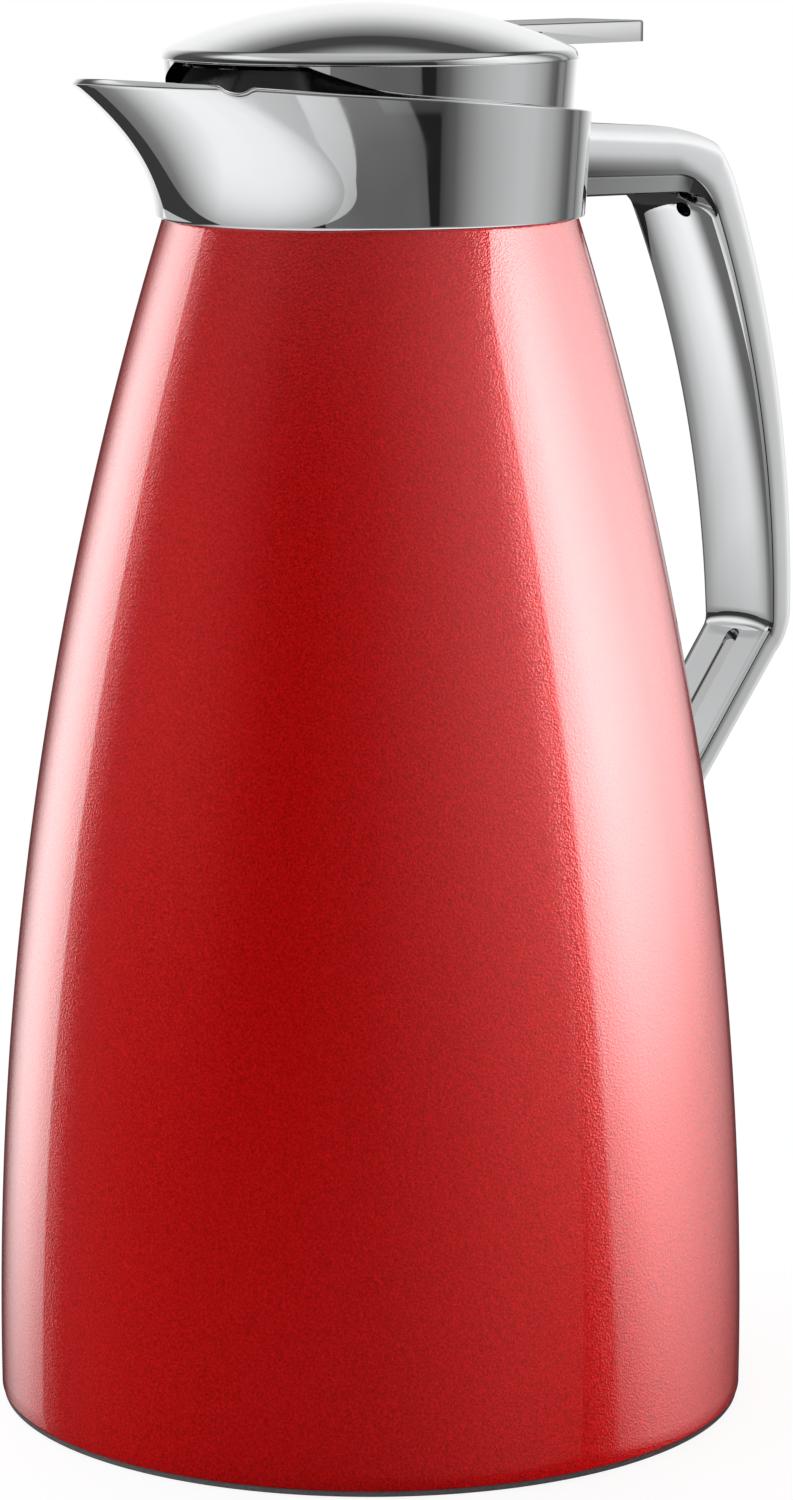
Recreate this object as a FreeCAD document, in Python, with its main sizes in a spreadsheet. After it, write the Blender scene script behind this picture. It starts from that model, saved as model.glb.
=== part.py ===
import FreeCAD, Part
import math
import os
import re

import Sketcher
from FreeCAD import Placement, Rotation, Vector

# Vacuum-insulated serving jug with a spout, a side handle and a lever lid.
# Millimetres, +Z up, origin in the middle of the face it stands on, spout towards -X, handle towards +X.
doc = FreeCAD.newDocument("vacuum_jug")
sheet = doc.addObject("Spreadsheet::Sheet", "dims")

DIMENSIONS = {
    # casing: one large arc from the belly, where it is upright, to the neck
    "belly_r": 72.7, "belly_z": 10, "neck_r": 39.3, "neck_z": 229.8,
    "casing_wall": 0.8, "casing_bottom": 1.3, "neck_bore_r": 35,
    # static gaps between pieces of one body, and between bodies
    "seat_gap": 0.15, "run_gap": 0.35, "pin_gap": 0.05,
    # base
    "ring_lift": 0.2, "ring_inset": 0.4, "ring_top": 8, "ring_wall": 5.7,
    "ledge_width": 2, "ledge_top": 2, "plate_thick": 3,
    "cushion_bore_r": 10, "cushion_r": 26,
    # double-walled flask
    "air_gap": 5.5, "glass_wall": 1.8, "vacuum_gap": 4.5, "flask_bottom": 12, "flask_corner_r": 25,
    "shoulder_z": 200, "flask_neck_z": 212, "lip_z": 218, "lip_thick": 2, "mouth_r": 23, "neck_vacuum_gap": 1,
    "tip_r": 3, "tip_drop": 4,
    # neck seal, throat insert and clamp ring
    "seal_thick": 3, "throat_r": 27, "sleeve_wall": 2.5, "deck_z": 240, "deck_thick": 2,
    "insert_flange_r": 37.5, "insert_flange_thick": 2, "clamp_height": 4,
    # collar and spout
    "collar_wall": 1.4, "collar_flange": 1.5, "collar_flare": 0.06, "rim_z": 251.6, "rim_tilt": 4.8,
    "spout_height": 27.6, "start_share": 0.02, "lip_centre": 52.2, "spout_lip_r": 18,
    "straight_share": 0.58, "flare_power": 1.97,
    "mark_r": 4, "mark_depth": 1.15, "mark_x": 55,
    # handle: arm, upper bend, grip, lower bend, lower arm
    "arm_z": 235.2, "arm_drop": 1.7, "grip_x": 113.6, "grip_z": 133.4, "grip_curve_r": 201, "grip_end_turn": 1.9,
    "upper_bend_r": 15, "bend_turn": 46, "lower_bend_r": 4, "lower_lean": 42.5, "lower_length": 80,
    # its section at the root, the arm's end, the upper bend, the grip's top and foot, the lower bend's end, the tail
    "root_half": 11.2, "root_crown": 11.2, "root_flank": 3.4, "root_belly": 4.6,
    "arm_half": 11.1, "arm_crown": 9.6, "arm_flank": 3.2, "arm_belly": 4.2,
    "bend_half": 11.1, "bend_crown": 14.6, "bend_flank": 1.2, "bend_belly": 0.4,
    "grip_half": 11.1, "grip_crown": 14.4, "edge_flank": 0.4, "grip_belly": -2.2,
    "foot_half": 9, "foot_crown": 11.7, "foot_belly": -0.8,
    "turn_half": 8.7, "turn_crown": 9.6, "tail_half": 8.2, "tail_crown": 7.6, "tail_belly": 0.4,
    "side_across": 0.955, "side_up": 0.36, "shoulder_across": 0.8, "shoulder_up": 0.66,
    "waist_across": 0.94,
    # its tongues, screw, slot and strip
    "lug_width": 10, "lug_height": 6, "lug_reach": 38, "lug_inset": 0.6,
    "screw_turn": 27.1, "screw_r": 1, "screw_head_r": 1.65, "screw_head": 1.6, "screw_sink": 0.6,
    "screw_length": 7, "slot_width": 3.2, "slot_length": 40, "slot_depth": 1.8, "slot_start": 0, "strip_sink": 0.5,
    "strip_start": 2.4,
    "bracket_width": 6, "bracket_height": 3.2, "bracket_lift": 5.6, "bracket_reach": 24,
    # lid cap
    "skirt_height": 15, "dome_r": 92.5, "dome_edge_r": 39.35, "dome_lip": 1.71, "dome_round": 2.2, "dome_wall": 1.5,
    "skirt_step": 0.35, "skirt_low_r": 37.9, "skirt_wall": 1.5,
    "cut_top_half": 17, "cut_low_half": 32, "cut_low_z": 253,
    # lid housing, bridge, gasket and screws
    "plug_r": 24, "plug_wall": 2.5, "plug_depth": 16, "housing_flange": 2, "housing_wall": 3.4, "chamber_height": 7,
    "window_half": 24, "bridge_thick": 2, "baffle_height": 5, "baffle_wall": 1.6, "baffle_front": 13,
    "groove_depth": 1, "gasket_low": 4, "gasket_height": 4,
    "lid_screw_r": 1, "lid_screw_head_r": 1.7, "lid_screw_head": 1.5, "lid_screw_length": 8,
    "first_screw_turn": 45, "next_screw_turn": 100,
    # lever
    "pivot_x": 24, "pivot_z": 257.5, "pivot_r": 1.5, "hub_r": 3, "hub_width": 9.6, "ear_wall": 2.6,
    "lever_width": 20, "lever_tip": 70, "lever_top_z": 264.8, "lever_height": 4.1, "lever_wall": 1.5,
    "lever_corner_r": 3, "skirt_start": 40, "skirt_slant": 2.5,
    "rocker_thick": 2.5, "fork_reach": 6, "slot_margin": 0.6,
    # valve
    "valve_bore_r": 9, "valve_r": 11.5, "valve_seal_thick": 1.1, "valve_disc": 3.4, "valve_hub_r": 5,
    "valve_hub": 4, "stem_r": 2, "fork_gap": 0.7, "nut_r": 4.2, "nut_height": 2.7,
    "coil_r": 7, "wire_r": 0.5, "coil_turns": 5,
}
for row, (alias, number) in enumerate(DIMENSIONS.items(), start=1):
    sheet.set("A%d" % row, alias)
    sheet.set("B%d" % row, str(number))
    sheet.setAlias("B%d" % row, alias)
doc.recompute()


def bound(formula):
    """The formula with each dimension's name pointing at the sheet."""
    return re.sub(r"[a-z_]+", lambda word: "dims." + word[0] if word[0] in DIMENSIONS else word[0], str(formula))


def value(formula):
    """The formula's number, from the sheet."""
    return float(sheet.evalExpression(str(formula)))


# Heights and radii that several pieces share, as formulas of the sheet's dimensions.
CURVE_R = "(((belly_r - neck_r)^2 + (neck_z - belly_z)^2) / (2 * (belly_r - neck_r)))"


def casing_radius(height, inset="0"):
    """Radius of the casing's arc at a height, or of an arc that lies inset inside it."""
    return "(belly_r - %s + sqrt((%s - (%s))^2 - ((%s) - belly_z)^2))" % (CURVE_R, CURVE_R, inset, height)


GLASS_OUTSIDE = "casing_wall + air_gap"
INNER_GLASS = "casing_wall + air_gap + glass_wall + vacuum_gap"
FLASK_NECK_R = "(mouth_r + 2 * glass_wall + neck_vacuum_gap)"
FLASK_TOP = "(lip_z + lip_thick)"
SEAL_TOP = "(lip_z + lip_thick + seal_thick)"
SLEEVE_R = "(throat_r + sleeve_wall)"
COLLAR_FLOOR = "(neck_z + collar_flange)"
LID_SEAT = "(deck_z + deck_thick)"
SKIRT_BOTTOM = "(deck_z + deck_thick + housing_flange)"
DOME_EDGE_Z = "(deck_z + deck_thick + housing_flange + skirt_height)"
DOME_RISE = "(dome_r - sqrt(dome_r^2 - dome_edge_r^2))"
LID_TOP = DOME_EDGE_Z + " + dome_lip + " + DOME_RISE
HOUSING_R = "(skirt_low_r - skirt_wall - seat_gap)"
BRIDGE_Z = "(deck_z + deck_thick + housing_flange + chamber_height)"
BRIDGE_TOP = "(deck_z + deck_thick + housing_flange + chamber_height + bridge_thick)"
PLUG_BOTTOM = "(deck_z + deck_thick - plug_depth)"
VALVE_SEAT = "(deck_z + deck_thick - plug_depth + plug_wall)"
DISC_TOP = "(deck_z + deck_thick - plug_depth + plug_wall + valve_seal_thick + valve_disc)"
LEVER_BOTTOM = "(lever_top_z - lever_height)"
PLATE_BOTTOM = "(lever_top_z - lever_wall)"
ROCKER_TOP = "(pivot_z + rocker_thick / 2)"
NUT_BOTTOM = "(pivot_z + rocker_thick / 2 + fork_gap)"


def neck_back_radius(height):
    """Outer radius of the collar's round back at a height: a slight cone."""
    return "(%s + collar_flare * ((%s) - neck_z))" % (casing_radius("neck_z"), height)


# Sketches whose corners and radii are bound to the sheet.
def plane_of(body, role):
    return [plane for plane in body.Origin.OriginFeatures if plane.Role == role][0]


def new_sketch(owner, name, role=None, lift=None):
    """A sketch on one of a body's own planes, or a free one in the XY plane, raised by lift."""
    if role is None:
        sketch = doc.addObject("Sketcher::SketchObject", name)
        sketch.setExpression("Placement.Base.z", bound(lift))
        return sketch
    sketch = owner.newObject("Sketcher::SketchObject", name)
    sketch.AttachmentSupport = (plane_of(owner, role), [""])
    sketch.MapMode = "FlatFace"
    if lift is not None:
        sketch.setExpression("AttachmentOffset.Base.z", bound(lift))
    return sketch


def fix(sketch, constraint, formula):
    index = sketch.addConstraint(constraint)
    sketch.setExpression("Constraints[%d]" % index, bound(formula))


def outline(sketch, corners):
    """Draws a closed outline. A corner is (x, y), or (x, y, radius, side) where an arc leads on to the next one.

    The side is 1 for an arc that turns left as the outline runs, and -1 for one that turns right."""
    points = [Vector(value(corner[0]), value(corner[1]), 0) for corner in corners]
    starts = []
    ends = []
    for index, corner in enumerate(corners):
        here = points[index]
        there = points[(index + 1) % len(points)]
        if len(corner) == 2:
            sketch.addGeometry(Part.LineSegment(here, there))
            starts.append(1)
            ends.append(2)
            continue
        radius, side = value(corner[2]), corner[3]
        half = (there - here) * 0.5
        across = Vector(-half.y, half.x, 0).normalize()
        centre = here + half + across * (side * math.sqrt(radius ** 2 - half.Length ** 2))
        low, high = (here, there) if side > 0 else (there, here)
        circle = Part.Circle(centre, Vector(0, 0, 1), radius)
        sketch.addGeometry(Part.ArcOfCircle(circle, circle.parameter(low), circle.parameter(high)))
        starts.append(1 if side > 0 else 2)
        ends.append(2 if side > 0 else 1)
    for index, corner in enumerate(corners):
        after = (index + 1) % len(corners)
        sketch.addConstraint(Sketcher.Constraint("Coincident", index, ends[index], after, starts[after]))
        at = points[index]
        fix(sketch, Sketcher.Constraint("DistanceX", -1, 1, index, starts[index], at.x), corner[0])
        fix(sketch, Sketcher.Constraint("DistanceY", -1, 1, index, starts[index], at.y), corner[1])
        if len(corner) == 4:
            fix(sketch, Sketcher.Constraint("Radius", index, value(corner[2])), corner[2])
    return sketch


def rectangle(low_x, low_y, high_x, high_y):
    return [(low_x, low_y), (high_x, low_y), (high_x, high_y), (low_x, high_y)]


def round_outline(sketch, x, y, radius):
    """A circle in a sketch, with its centre and radius bound."""
    centre = Vector(value(x), value(y), 0)
    index = sketch.addGeometry(Part.Circle(centre, Vector(0, 0, 1), value(radius)))
    fix(sketch, Sketcher.Constraint("DistanceX", -1, 1, index, 3, centre.x), x)
    fix(sketch, Sketcher.Constraint("DistanceY", -1, 1, index, 3, centre.y), y)
    fix(sketch, Sketcher.Constraint("Radius", index, value(radius)), radius)
    return sketch


# Features of a body.
def turned(node, corners):
    """A body turned round Z from an outline in the XZ plane."""
    body = doc.addObject("PartDesign::Body", node)
    profile = outline(new_sketch(body, node + "_profile", "XZ_Plane"), corners)
    revolution = body.newObject("PartDesign::Revolution", node + "_turn")
    revolution.Profile = (profile, [""])
    revolution.ReferenceAxis = (profile, ["V_Axis"])
    revolution.Angle = 360
    doc.recompute()
    return body


def padded(body, name, sketch, length, symmetric=False):
    pad = body.newObject("PartDesign::Pad", name)
    pad.Profile = (sketch, [""])
    pad.setExpression("Length", bound(length))
    pad.SideType = "Symmetric" if symmetric else "One side"
    doc.recompute()
    return pad


def cut(body, name, sketch, length, reverse=False, symmetric=False):
    """A pocket, which has to take material away."""
    before = body.Shape.Volume
    pocket = body.newObject("PartDesign::Pocket", name)
    pocket.Profile = (sketch, [""])
    pocket.setExpression("Length", bound(length))
    pocket.Reversed = reverse
    pocket.SideType = "Symmetric" if symmetric else "One side"
    doc.recompute()
    if not body.Shape.Volume < before:
        raise ValueError(name + " cuts nothing")
    return pocket


def rounded(body, name, edges, radius):
    fillet = body.newObject("PartDesign::Fillet", name)
    fillet.Base = (body.Tip if body.Tip != fillet else fillet.BaseFeature, edges)
    fillet.setExpression("Radius", bound(radius))
    doc.recompute()
    return fillet


def edges_where(shape, test):
    return ["Edge%d" % number for number, edge in enumerate(shape.Edges, start=1) if test(edge)]


def boolean(kind, name, base, tool):
    result = doc.addObject(kind, name)
    result.Base = base
    result.Tool = tool
    doc.recompute()
    return result


def cylinder(name, radius, height, base_z):
    rod = doc.addObject("Part::Cylinder", name)
    rod.setExpression("Radius", bound(radius))
    rod.setExpression("Height", bound(height))
    rod.setExpression("Placement.Base.z", bound(base_z))
    return rod


def formed(name, shape):
    """A piece whose shape comes straight from Part's functions."""
    feature = doc.addObject("Part::Feature", name)
    feature.Shape = shape
    feature.Placement = Placement()
    return feature


NODES = {}


# The casing is one spun and drawn steel shell with its neck turned in.
def outer_casing():
    inside_neck = casing_radius("neck_z - casing_wall", "casing_wall")
    foot_r = casing_radius("casing_bottom")
    NODES["outer_casing"] = turned("outer_casing", [
        (casing_radius("casing_bottom", "casing_wall"), "casing_bottom"),
        (foot_r, "casing_bottom", CURVE_R, 1),
        (casing_radius("neck_z"), "neck_z"),
        ("neck_bore_r", "neck_z"),
        ("neck_bore_r", "neck_z - casing_wall"),
        (inside_neck, "neck_z - casing_wall", CURVE_R + " - casing_wall", -1),
    ])


# The base: a ring in the casing's foot, the floor that lies on its ledge, and the pad under the floor.
def base():
    spigot_r = casing_radius("casing_bottom", "casing_wall + seat_gap")
    NODES["base_ring"] = turned("base_ring", [
        (spigot_r + " - ring_wall - ledge_width", "ring_lift"),
        ("belly_r - ring_inset", "ring_lift"),
        ("belly_r - ring_inset", "casing_bottom"),
        (spigot_r, "casing_bottom"),
        (spigot_r, "ring_top"),
        (spigot_r + " - ring_wall", "ring_top"),
        (spigot_r + " - ring_wall", "ledge_top"),
        (spigot_r + " - ring_wall - ledge_width", "ledge_top"),
    ])
    NODES["base_plate"] = turned("base_plate", rectangle(
        "0", "ledge_top", spigot_r + " - ring_wall - seat_gap", "ledge_top + plate_thick"))
    NODES["foot_pad"] = turned("foot_pad", rectangle(
        "0", "0", spigot_r + " - ring_wall - ledge_width - seat_gap", "ledge_top"))
    NODES["liner_cushion"] = turned("liner_cushion", rectangle(
        "cushion_bore_r", "ledge_top + plate_thick", "cushion_r", "flask_bottom - seat_gap"))


# The flask: an outer glass with its sealed-off tip, and an inner glass whose lip closes the gap between them.
def flask():
    outer_neck = FLASK_NECK_R
    inset = GLASS_OUTSIDE
    wall_inset = GLASS_OUTSIDE + " + glass_wall"
    corner_z = "flask_bottom + flask_corner_r"
    corner_x = casing_radius(corner_z, inset)
    inside_corner_x = casing_radius(corner_z, wall_inset)
    inside_bottom = "flask_bottom + glass_wall"
    inside_corner = "flask_corner_r - glass_wall"
    NODES["liner_outer"] = turned("liner_outer", [
        ("0", "flask_bottom - tip_drop"),
        ("tip_r", "flask_bottom"),
        (corner_x + " - flask_corner_r", "flask_bottom", "flask_corner_r", 1),
        (corner_x, corner_z, CURVE_R + " - (%s)" % inset, 1),
        (casing_radius("shoulder_z", inset), "shoulder_z"),
        (outer_neck, "flask_neck_z"),
        (outer_neck, "lip_z"),
        (outer_neck + " - glass_wall", "lip_z"),
        (outer_neck + " - glass_wall", "flask_neck_z - glass_wall / 2"),
        (casing_radius("shoulder_z - glass_wall / 2", wall_inset), "shoulder_z - glass_wall / 2",
         CURVE_R + " - (%s)" % wall_inset, -1),
        (inside_corner_x, corner_z, inside_corner, -1),
        (inside_corner_x + " - (%s)" % inside_corner, inside_bottom),
        ("0", inside_bottom),
    ])
    inset = INNER_GLASS
    wall_inset = INNER_GLASS + " + glass_wall"
    bottom = "(flask_bottom + glass_wall + vacuum_gap)"
    corner = "(flask_corner_r - glass_wall - vacuum_gap)"
    corner_z = bottom + " + " + corner
    corner_x = casing_radius(corner_z, inset)
    inside_corner_x = casing_radius(corner_z, wall_inset)
    inside_corner = corner + " - glass_wall"
    shoulder = "(shoulder_z - glass_wall - vacuum_gap)"
    neck = "(flask_neck_z - glass_wall - vacuum_gap / 2)"
    NODES["liner_inner"] = turned("liner_inner", [
        ("0", bottom),
        (corner_x + " - " + corner, bottom, corner, 1),
        (corner_x, corner_z, CURVE_R + " - (%s)" % inset, 1),
        (casing_radius(shoulder, inset), shoulder),
        ("mouth_r + glass_wall", neck),
        ("mouth_r + glass_wall", "lip_z"),
        (outer_neck, "lip_z"),
        (outer_neck, FLASK_TOP),
        ("mouth_r", FLASK_TOP),
        ("mouth_r", neck + " - glass_wall / 2"),
        (casing_radius(shoulder + " - glass_wall / 2", wall_inset), shoulder + " - glass_wall / 2",
         CURVE_R + " - (%s)" % wall_inset, -1),
        (inside_corner_x, corner_z, inside_corner, -1),
        (inside_corner_x + " - (%s)" % inside_corner, bottom + " + glass_wall"),
        ("0", bottom + " + glass_wall"),
    ])
    NODES["neck_seal"] = turned("neck_seal", rectangle(
        "mouth_r + seat_gap", FLASK_TOP, SLEEVE_R + " - seat_gap", SEAL_TOP))


# Teardrop sections of the collar: a round back, two flats and a rounded nose that reaches out with height.
def teardrop(name, height, share, inset):
    """A free sketch of the collar's section at a height, drawn in by inset all round."""
    back_r = neck_back_radius(height) + " - (%s)" % inset
    nose_x = "lip_centre * (straight_share * (%s) + (1 - straight_share) * (%s)^flare_power)" % (share, share)
    nose_r = "(%s + (spout_lip_r - %s) * (%s)) - (%s)" % (
        casing_radius("neck_z"), casing_radius("neck_z"), share, inset)
    sketch = new_sketch(None, name, None, height)
    back, reach, nose = value(back_r), value(nose_x), value(nose_r)
    turn = math.acos((back - nose) / reach)
    side = Vector(-math.cos(turn), math.sin(turn), 0)
    low = Vector(side.x, -side.y, 0)
    centre = Vector(-reach, 0, 0)
    axis = Vector(0, 0, 1)
    sketch.addGeometry(Part.ArcOfCircle(Part.Circle(Vector(), axis, back), turn - math.pi, math.pi - turn))
    sketch.addGeometry(Part.LineSegment(side * back, centre + side * nose))
    sketch.addGeometry(Part.ArcOfCircle(Part.Circle(centre, axis, nose), math.pi - turn, math.pi + turn))
    sketch.addGeometry(Part.LineSegment(centre + low * nose, low * back))
    for first, second in ((0, 1), (1, 2), (2, 3), (3, 0)):
        sketch.addConstraint(Sketcher.Constraint("Tangent", first, 2, second, 1))
    sketch.addConstraint(Sketcher.Constraint("Coincident", 0, 3, -1, 1))
    sketch.addConstraint(Sketcher.Constraint("PointOnObject", 2, 3, -1))
    fix(sketch, Sketcher.Constraint("DistanceX", 2, 3, -1, 1, reach), nose_x)
    fix(sketch, Sketcher.Constraint("Radius", 0, back), back_r)
    fix(sketch, Sketcher.Constraint("Radius", 2, nose), nose_r)
    return sketch


def height_share(height):
    """How far the spout is drawn out at a height: 1 at the height where its lip has its full reach."""
    return "(start_share + (1 - start_share) * ((%s) - neck_z) / spout_height)" % height


def drawn_out(name, heights, inset):
    """A loft through the collar's sections at the given heights."""
    loft = doc.addObject("Part::Loft", name)
    loft.Sections = [
        teardrop("%s_section_%d" % (name, number), height, height_share(height), inset)
        for number, height in enumerate(heights)
    ]
    loft.Solid = True
    loft.Ruled = False
    doc.recompute()
    return loft


SPOUT_STEPS = (0.3, 0.6, 0.85, 1.1)


# The collar is a chromed casting: shell, inner flange at the neck, slanted rim and a half-round mark in the rim.
def collar():
    steps = ["neck_z + %s * spout_height" % step for step in SPOUT_STEPS]
    outside = drawn_out("collar_outside", ["neck_z"] + steps, "0")
    inside = drawn_out("collar_inside", [COLLAR_FLOOR] + steps, "collar_wall")
    shell = boolean("Part::Cut", "collar_shell", outside, inside)
    bored = boolean("Part::Cut", "collar_bored", shell,
                    cylinder("collar_bore", "neck_bore_r", "spout_height / 2", "neck_z - collar_flange"))
    above = doc.addObject("Part::Box", "above_rim")
    for side in ("Length", "Width"):
        above.setExpression(side, bound("4 * belly_r"))
    above.setExpression("Height", bound("belly_r"))
    above.Placement.Rotation = Rotation(Vector(0, 1, 0), value("rim_tilt"))
    above.setExpression("Placement.Base.x", bound("-2 * belly_r * cos(rim_tilt * 1 deg)"))
    above.setExpression("Placement.Base.y", bound("-2 * belly_r"))
    above.setExpression("Placement.Base.z", bound("rim_z + 2 * belly_r * sin(rim_tilt * 1 deg)"))
    rimmed = boolean("Part::Cut", "collar_rimmed", bored, above)
    mark = doc.addObject("Part::Cylinder", "rim_mark")
    mark.setExpression("Radius", bound("mark_r"))
    mark.setExpression("Height", bound("belly_r"))
    mark.Placement.Rotation = Rotation(Vector(1, 0, 0), 90)
    mark.setExpression("Placement.Base.x", bound("-mark_x"))
    mark.setExpression("Placement.Base.z", bound("rim_z + mark_x * tan(rim_tilt * 1 deg) + mark_r - mark_depth"))
    NODES["collar"] = boolean("Part::Cut", "collar", rimmed, mark)


# The insert is the throat that the lid plugs into, with a deck that runs out into the spout and a clamping flange.
def collar_insert():
    inset = "collar_wall + seat_gap"
    deck = drawn_out("insert_deck", ["deck_z", LID_SEAT], inset)
    sleeve = cylinder("insert_sleeve", SLEEVE_R, LID_SEAT + " - " + SEAL_TOP, SEAL_TOP)
    flange = cylinder("insert_flange", "insert_flange_r", "insert_flange_thick", COLLAR_FLOOR)
    spool = boolean("Part::Fuse", "insert_spool", sleeve, flange)
    whole = boolean("Part::Fuse", "insert_whole", spool, deck)
    NODES["collar_insert"] = boolean(
        "Part::Cut", "collar_insert", whole,
        cylinder("insert_throat", "throat_r", "spout_height * 2", SEAL_TOP + " - seat_gap"))
    NODES["clamp_ring"] = turned("clamp_ring", rectangle(
        SLEEVE_R + " + seat_gap", "neck_z - casing_wall - clamp_height", "insert_flange_r", "neck_z - casing_wall"))


# The handle's line in the XZ plane, along the widest part of its section.
def outward_at(degrees):
    """The direction in the XZ plane at an angle above +X."""
    return Vector(math.cos(math.radians(degrees)), 0, math.sin(math.radians(degrees)))


STATIONS = [
    ("root_half", "root_crown", "root_flank", "root_belly"),
    ("arm_half", "arm_crown", "arm_flank", "arm_belly"),
    ("bend_half", "bend_crown", "bend_flank", "bend_belly"),
    ("grip_half", "grip_crown", "edge_flank", "grip_belly"),
    ("foot_half", "foot_crown", "edge_flank", "foot_belly"),
    ("turn_half", "turn_crown", "edge_flank", "tail_belly"),
    ("tail_half", "tail_crown", "edge_flank", "tail_belly"),
]
ARC_PIECES = 4
EVEN = 1
SLOW_START = 2


def sizes_between(station, share):
    """Half width, crown, flank and belly of the section at a share of the way from one station to the next."""
    return [value("%s + (%s - %s) * %s" % (here, there, here, share))
            for here, there in zip(STATIONS[station], STATIONS[station + 1])]


def handle_line():
    """The handle's runs, each a list of sections as places, crown directions and sizes, and the grip's centre."""
    drop, lean, end = value("arm_drop"), value("lower_lean"), value("grip_end_turn")
    grip_r, bend_r, low_r = value("grip_curve_r"), value("upper_bend_r"), value("lower_bend_r")
    start = Vector(value("insert_flange_r"), 0, value("arm_z"))
    along = outward_at(-drop)
    arm_up = outward_at(90 - drop)
    grip_centre = Vector(value("grip_x") - grip_r, 0, value("grip_z"))
    offset_start = start - arm_up * bend_r - grip_centre
    reach = offset_start.dot(along)
    arm_length = math.sqrt(reach ** 2 - offset_start.Length ** 2 + (grip_r - bend_r) ** 2) - reach
    bend_centre = start - arm_up * bend_r + along * arm_length
    grip_turn = math.degrees(math.asin((bend_centre - grip_centre).normalize().z))
    low_centre = grip_centre + outward_at(end) * (grip_r - low_r)

    arm_end = bend_centre + arm_up * bend_r
    runs = [[(start, arm_up, sizes_between(0, 0)), (arm_end, arm_up, sizes_between(0, 1))]]
    bend_turn = value("bend_turn")
    spans = [
        (bend_centre, bend_r, 90 - drop, bend_turn, SLOW_START),
        (bend_centre, bend_r, bend_turn, grip_turn, EVEN),
        (grip_centre, grip_r, grip_turn, end, EVEN),
        (low_centre, low_r, end, -lean, EVEN),
    ]
    for station, (centre, radius, first, last, power) in enumerate(spans, start=1):
        run = []
        for number in range(ARC_PIECES + 1):
            share = number / ARC_PIECES
            up = outward_at(first + (last - first) * share)
            run.append((centre + up * radius, up, sizes_between(station, share ** power)))
        runs.append(run)
    tail_start, tail_up, tail_sizes = runs[-1][-1]
    tail_end = tail_start - outward_at(90 - lean) * value("lower_length")
    runs.append([(tail_start, tail_up, tail_sizes), (tail_end, tail_up, sizes_between(len(spans) + 1, 1))])
    return runs, grip_centre


def grip_section(place, up, sizes):
    """The section as a wire: a round crown, two flanks that lean in from the widest line, and a bowed belly.

    A belly below zero is a hollow: the inner face then lies deeper than the widest line."""
    half, crown, flank, belly = sizes

    def at(across, height):
        return place + Vector(0, half * across, 0) + up * height

    side, shoulder, waist = value("side_across"), value("shoulder_across"), value("waist_across")
    side_up, shoulder_up = crown * value("side_up"), crown * value("shoulder_up")
    bow = Part.BezierCurve()
    bow.setPoles([at(waist, -flank), at(0, flank - 2 * belly), at(-waist, -flank)])
    edges = [
        Part.Arc(at(-1, 0), at(-side, side_up), at(-shoulder, shoulder_up)).toShape(),
        Part.Arc(at(-shoulder, shoulder_up), at(0, crown), at(shoulder, shoulder_up)).toShape(),
        Part.Arc(at(shoulder, shoulder_up), at(side, side_up), at(1, 0)).toShape(),
        Part.LineSegment(at(1, 0), at(waist, -flank)).toShape(),
        bow.toShape(),
        Part.LineSegment(at(-waist, -flank), at(-1, 0)).toShape(),
    ]
    return Part.Wire(edges)


def along_line(node, place, direction, crown_way, width, height, length, grow="0"):
    """A bar with a rectangular section that starts at a place and runs along a direction."""
    wide = value("%s + 2 * (%s)" % (width, grow))
    tall = value("%s + 2 * (%s)" % (height, grow))
    corner = place - Vector(0, 1, 0) * (wide / 2) - crown_way * (tall / 2)
    face = Part.Face(Part.makePolygon([
        corner, corner + Vector(0, 1, 0) * wide, corner + Vector(0, 1, 0) * wide + crown_way * tall,
        corner + crown_way * tall, corner]))
    return formed(node, face.extrude(direction * length))


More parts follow.
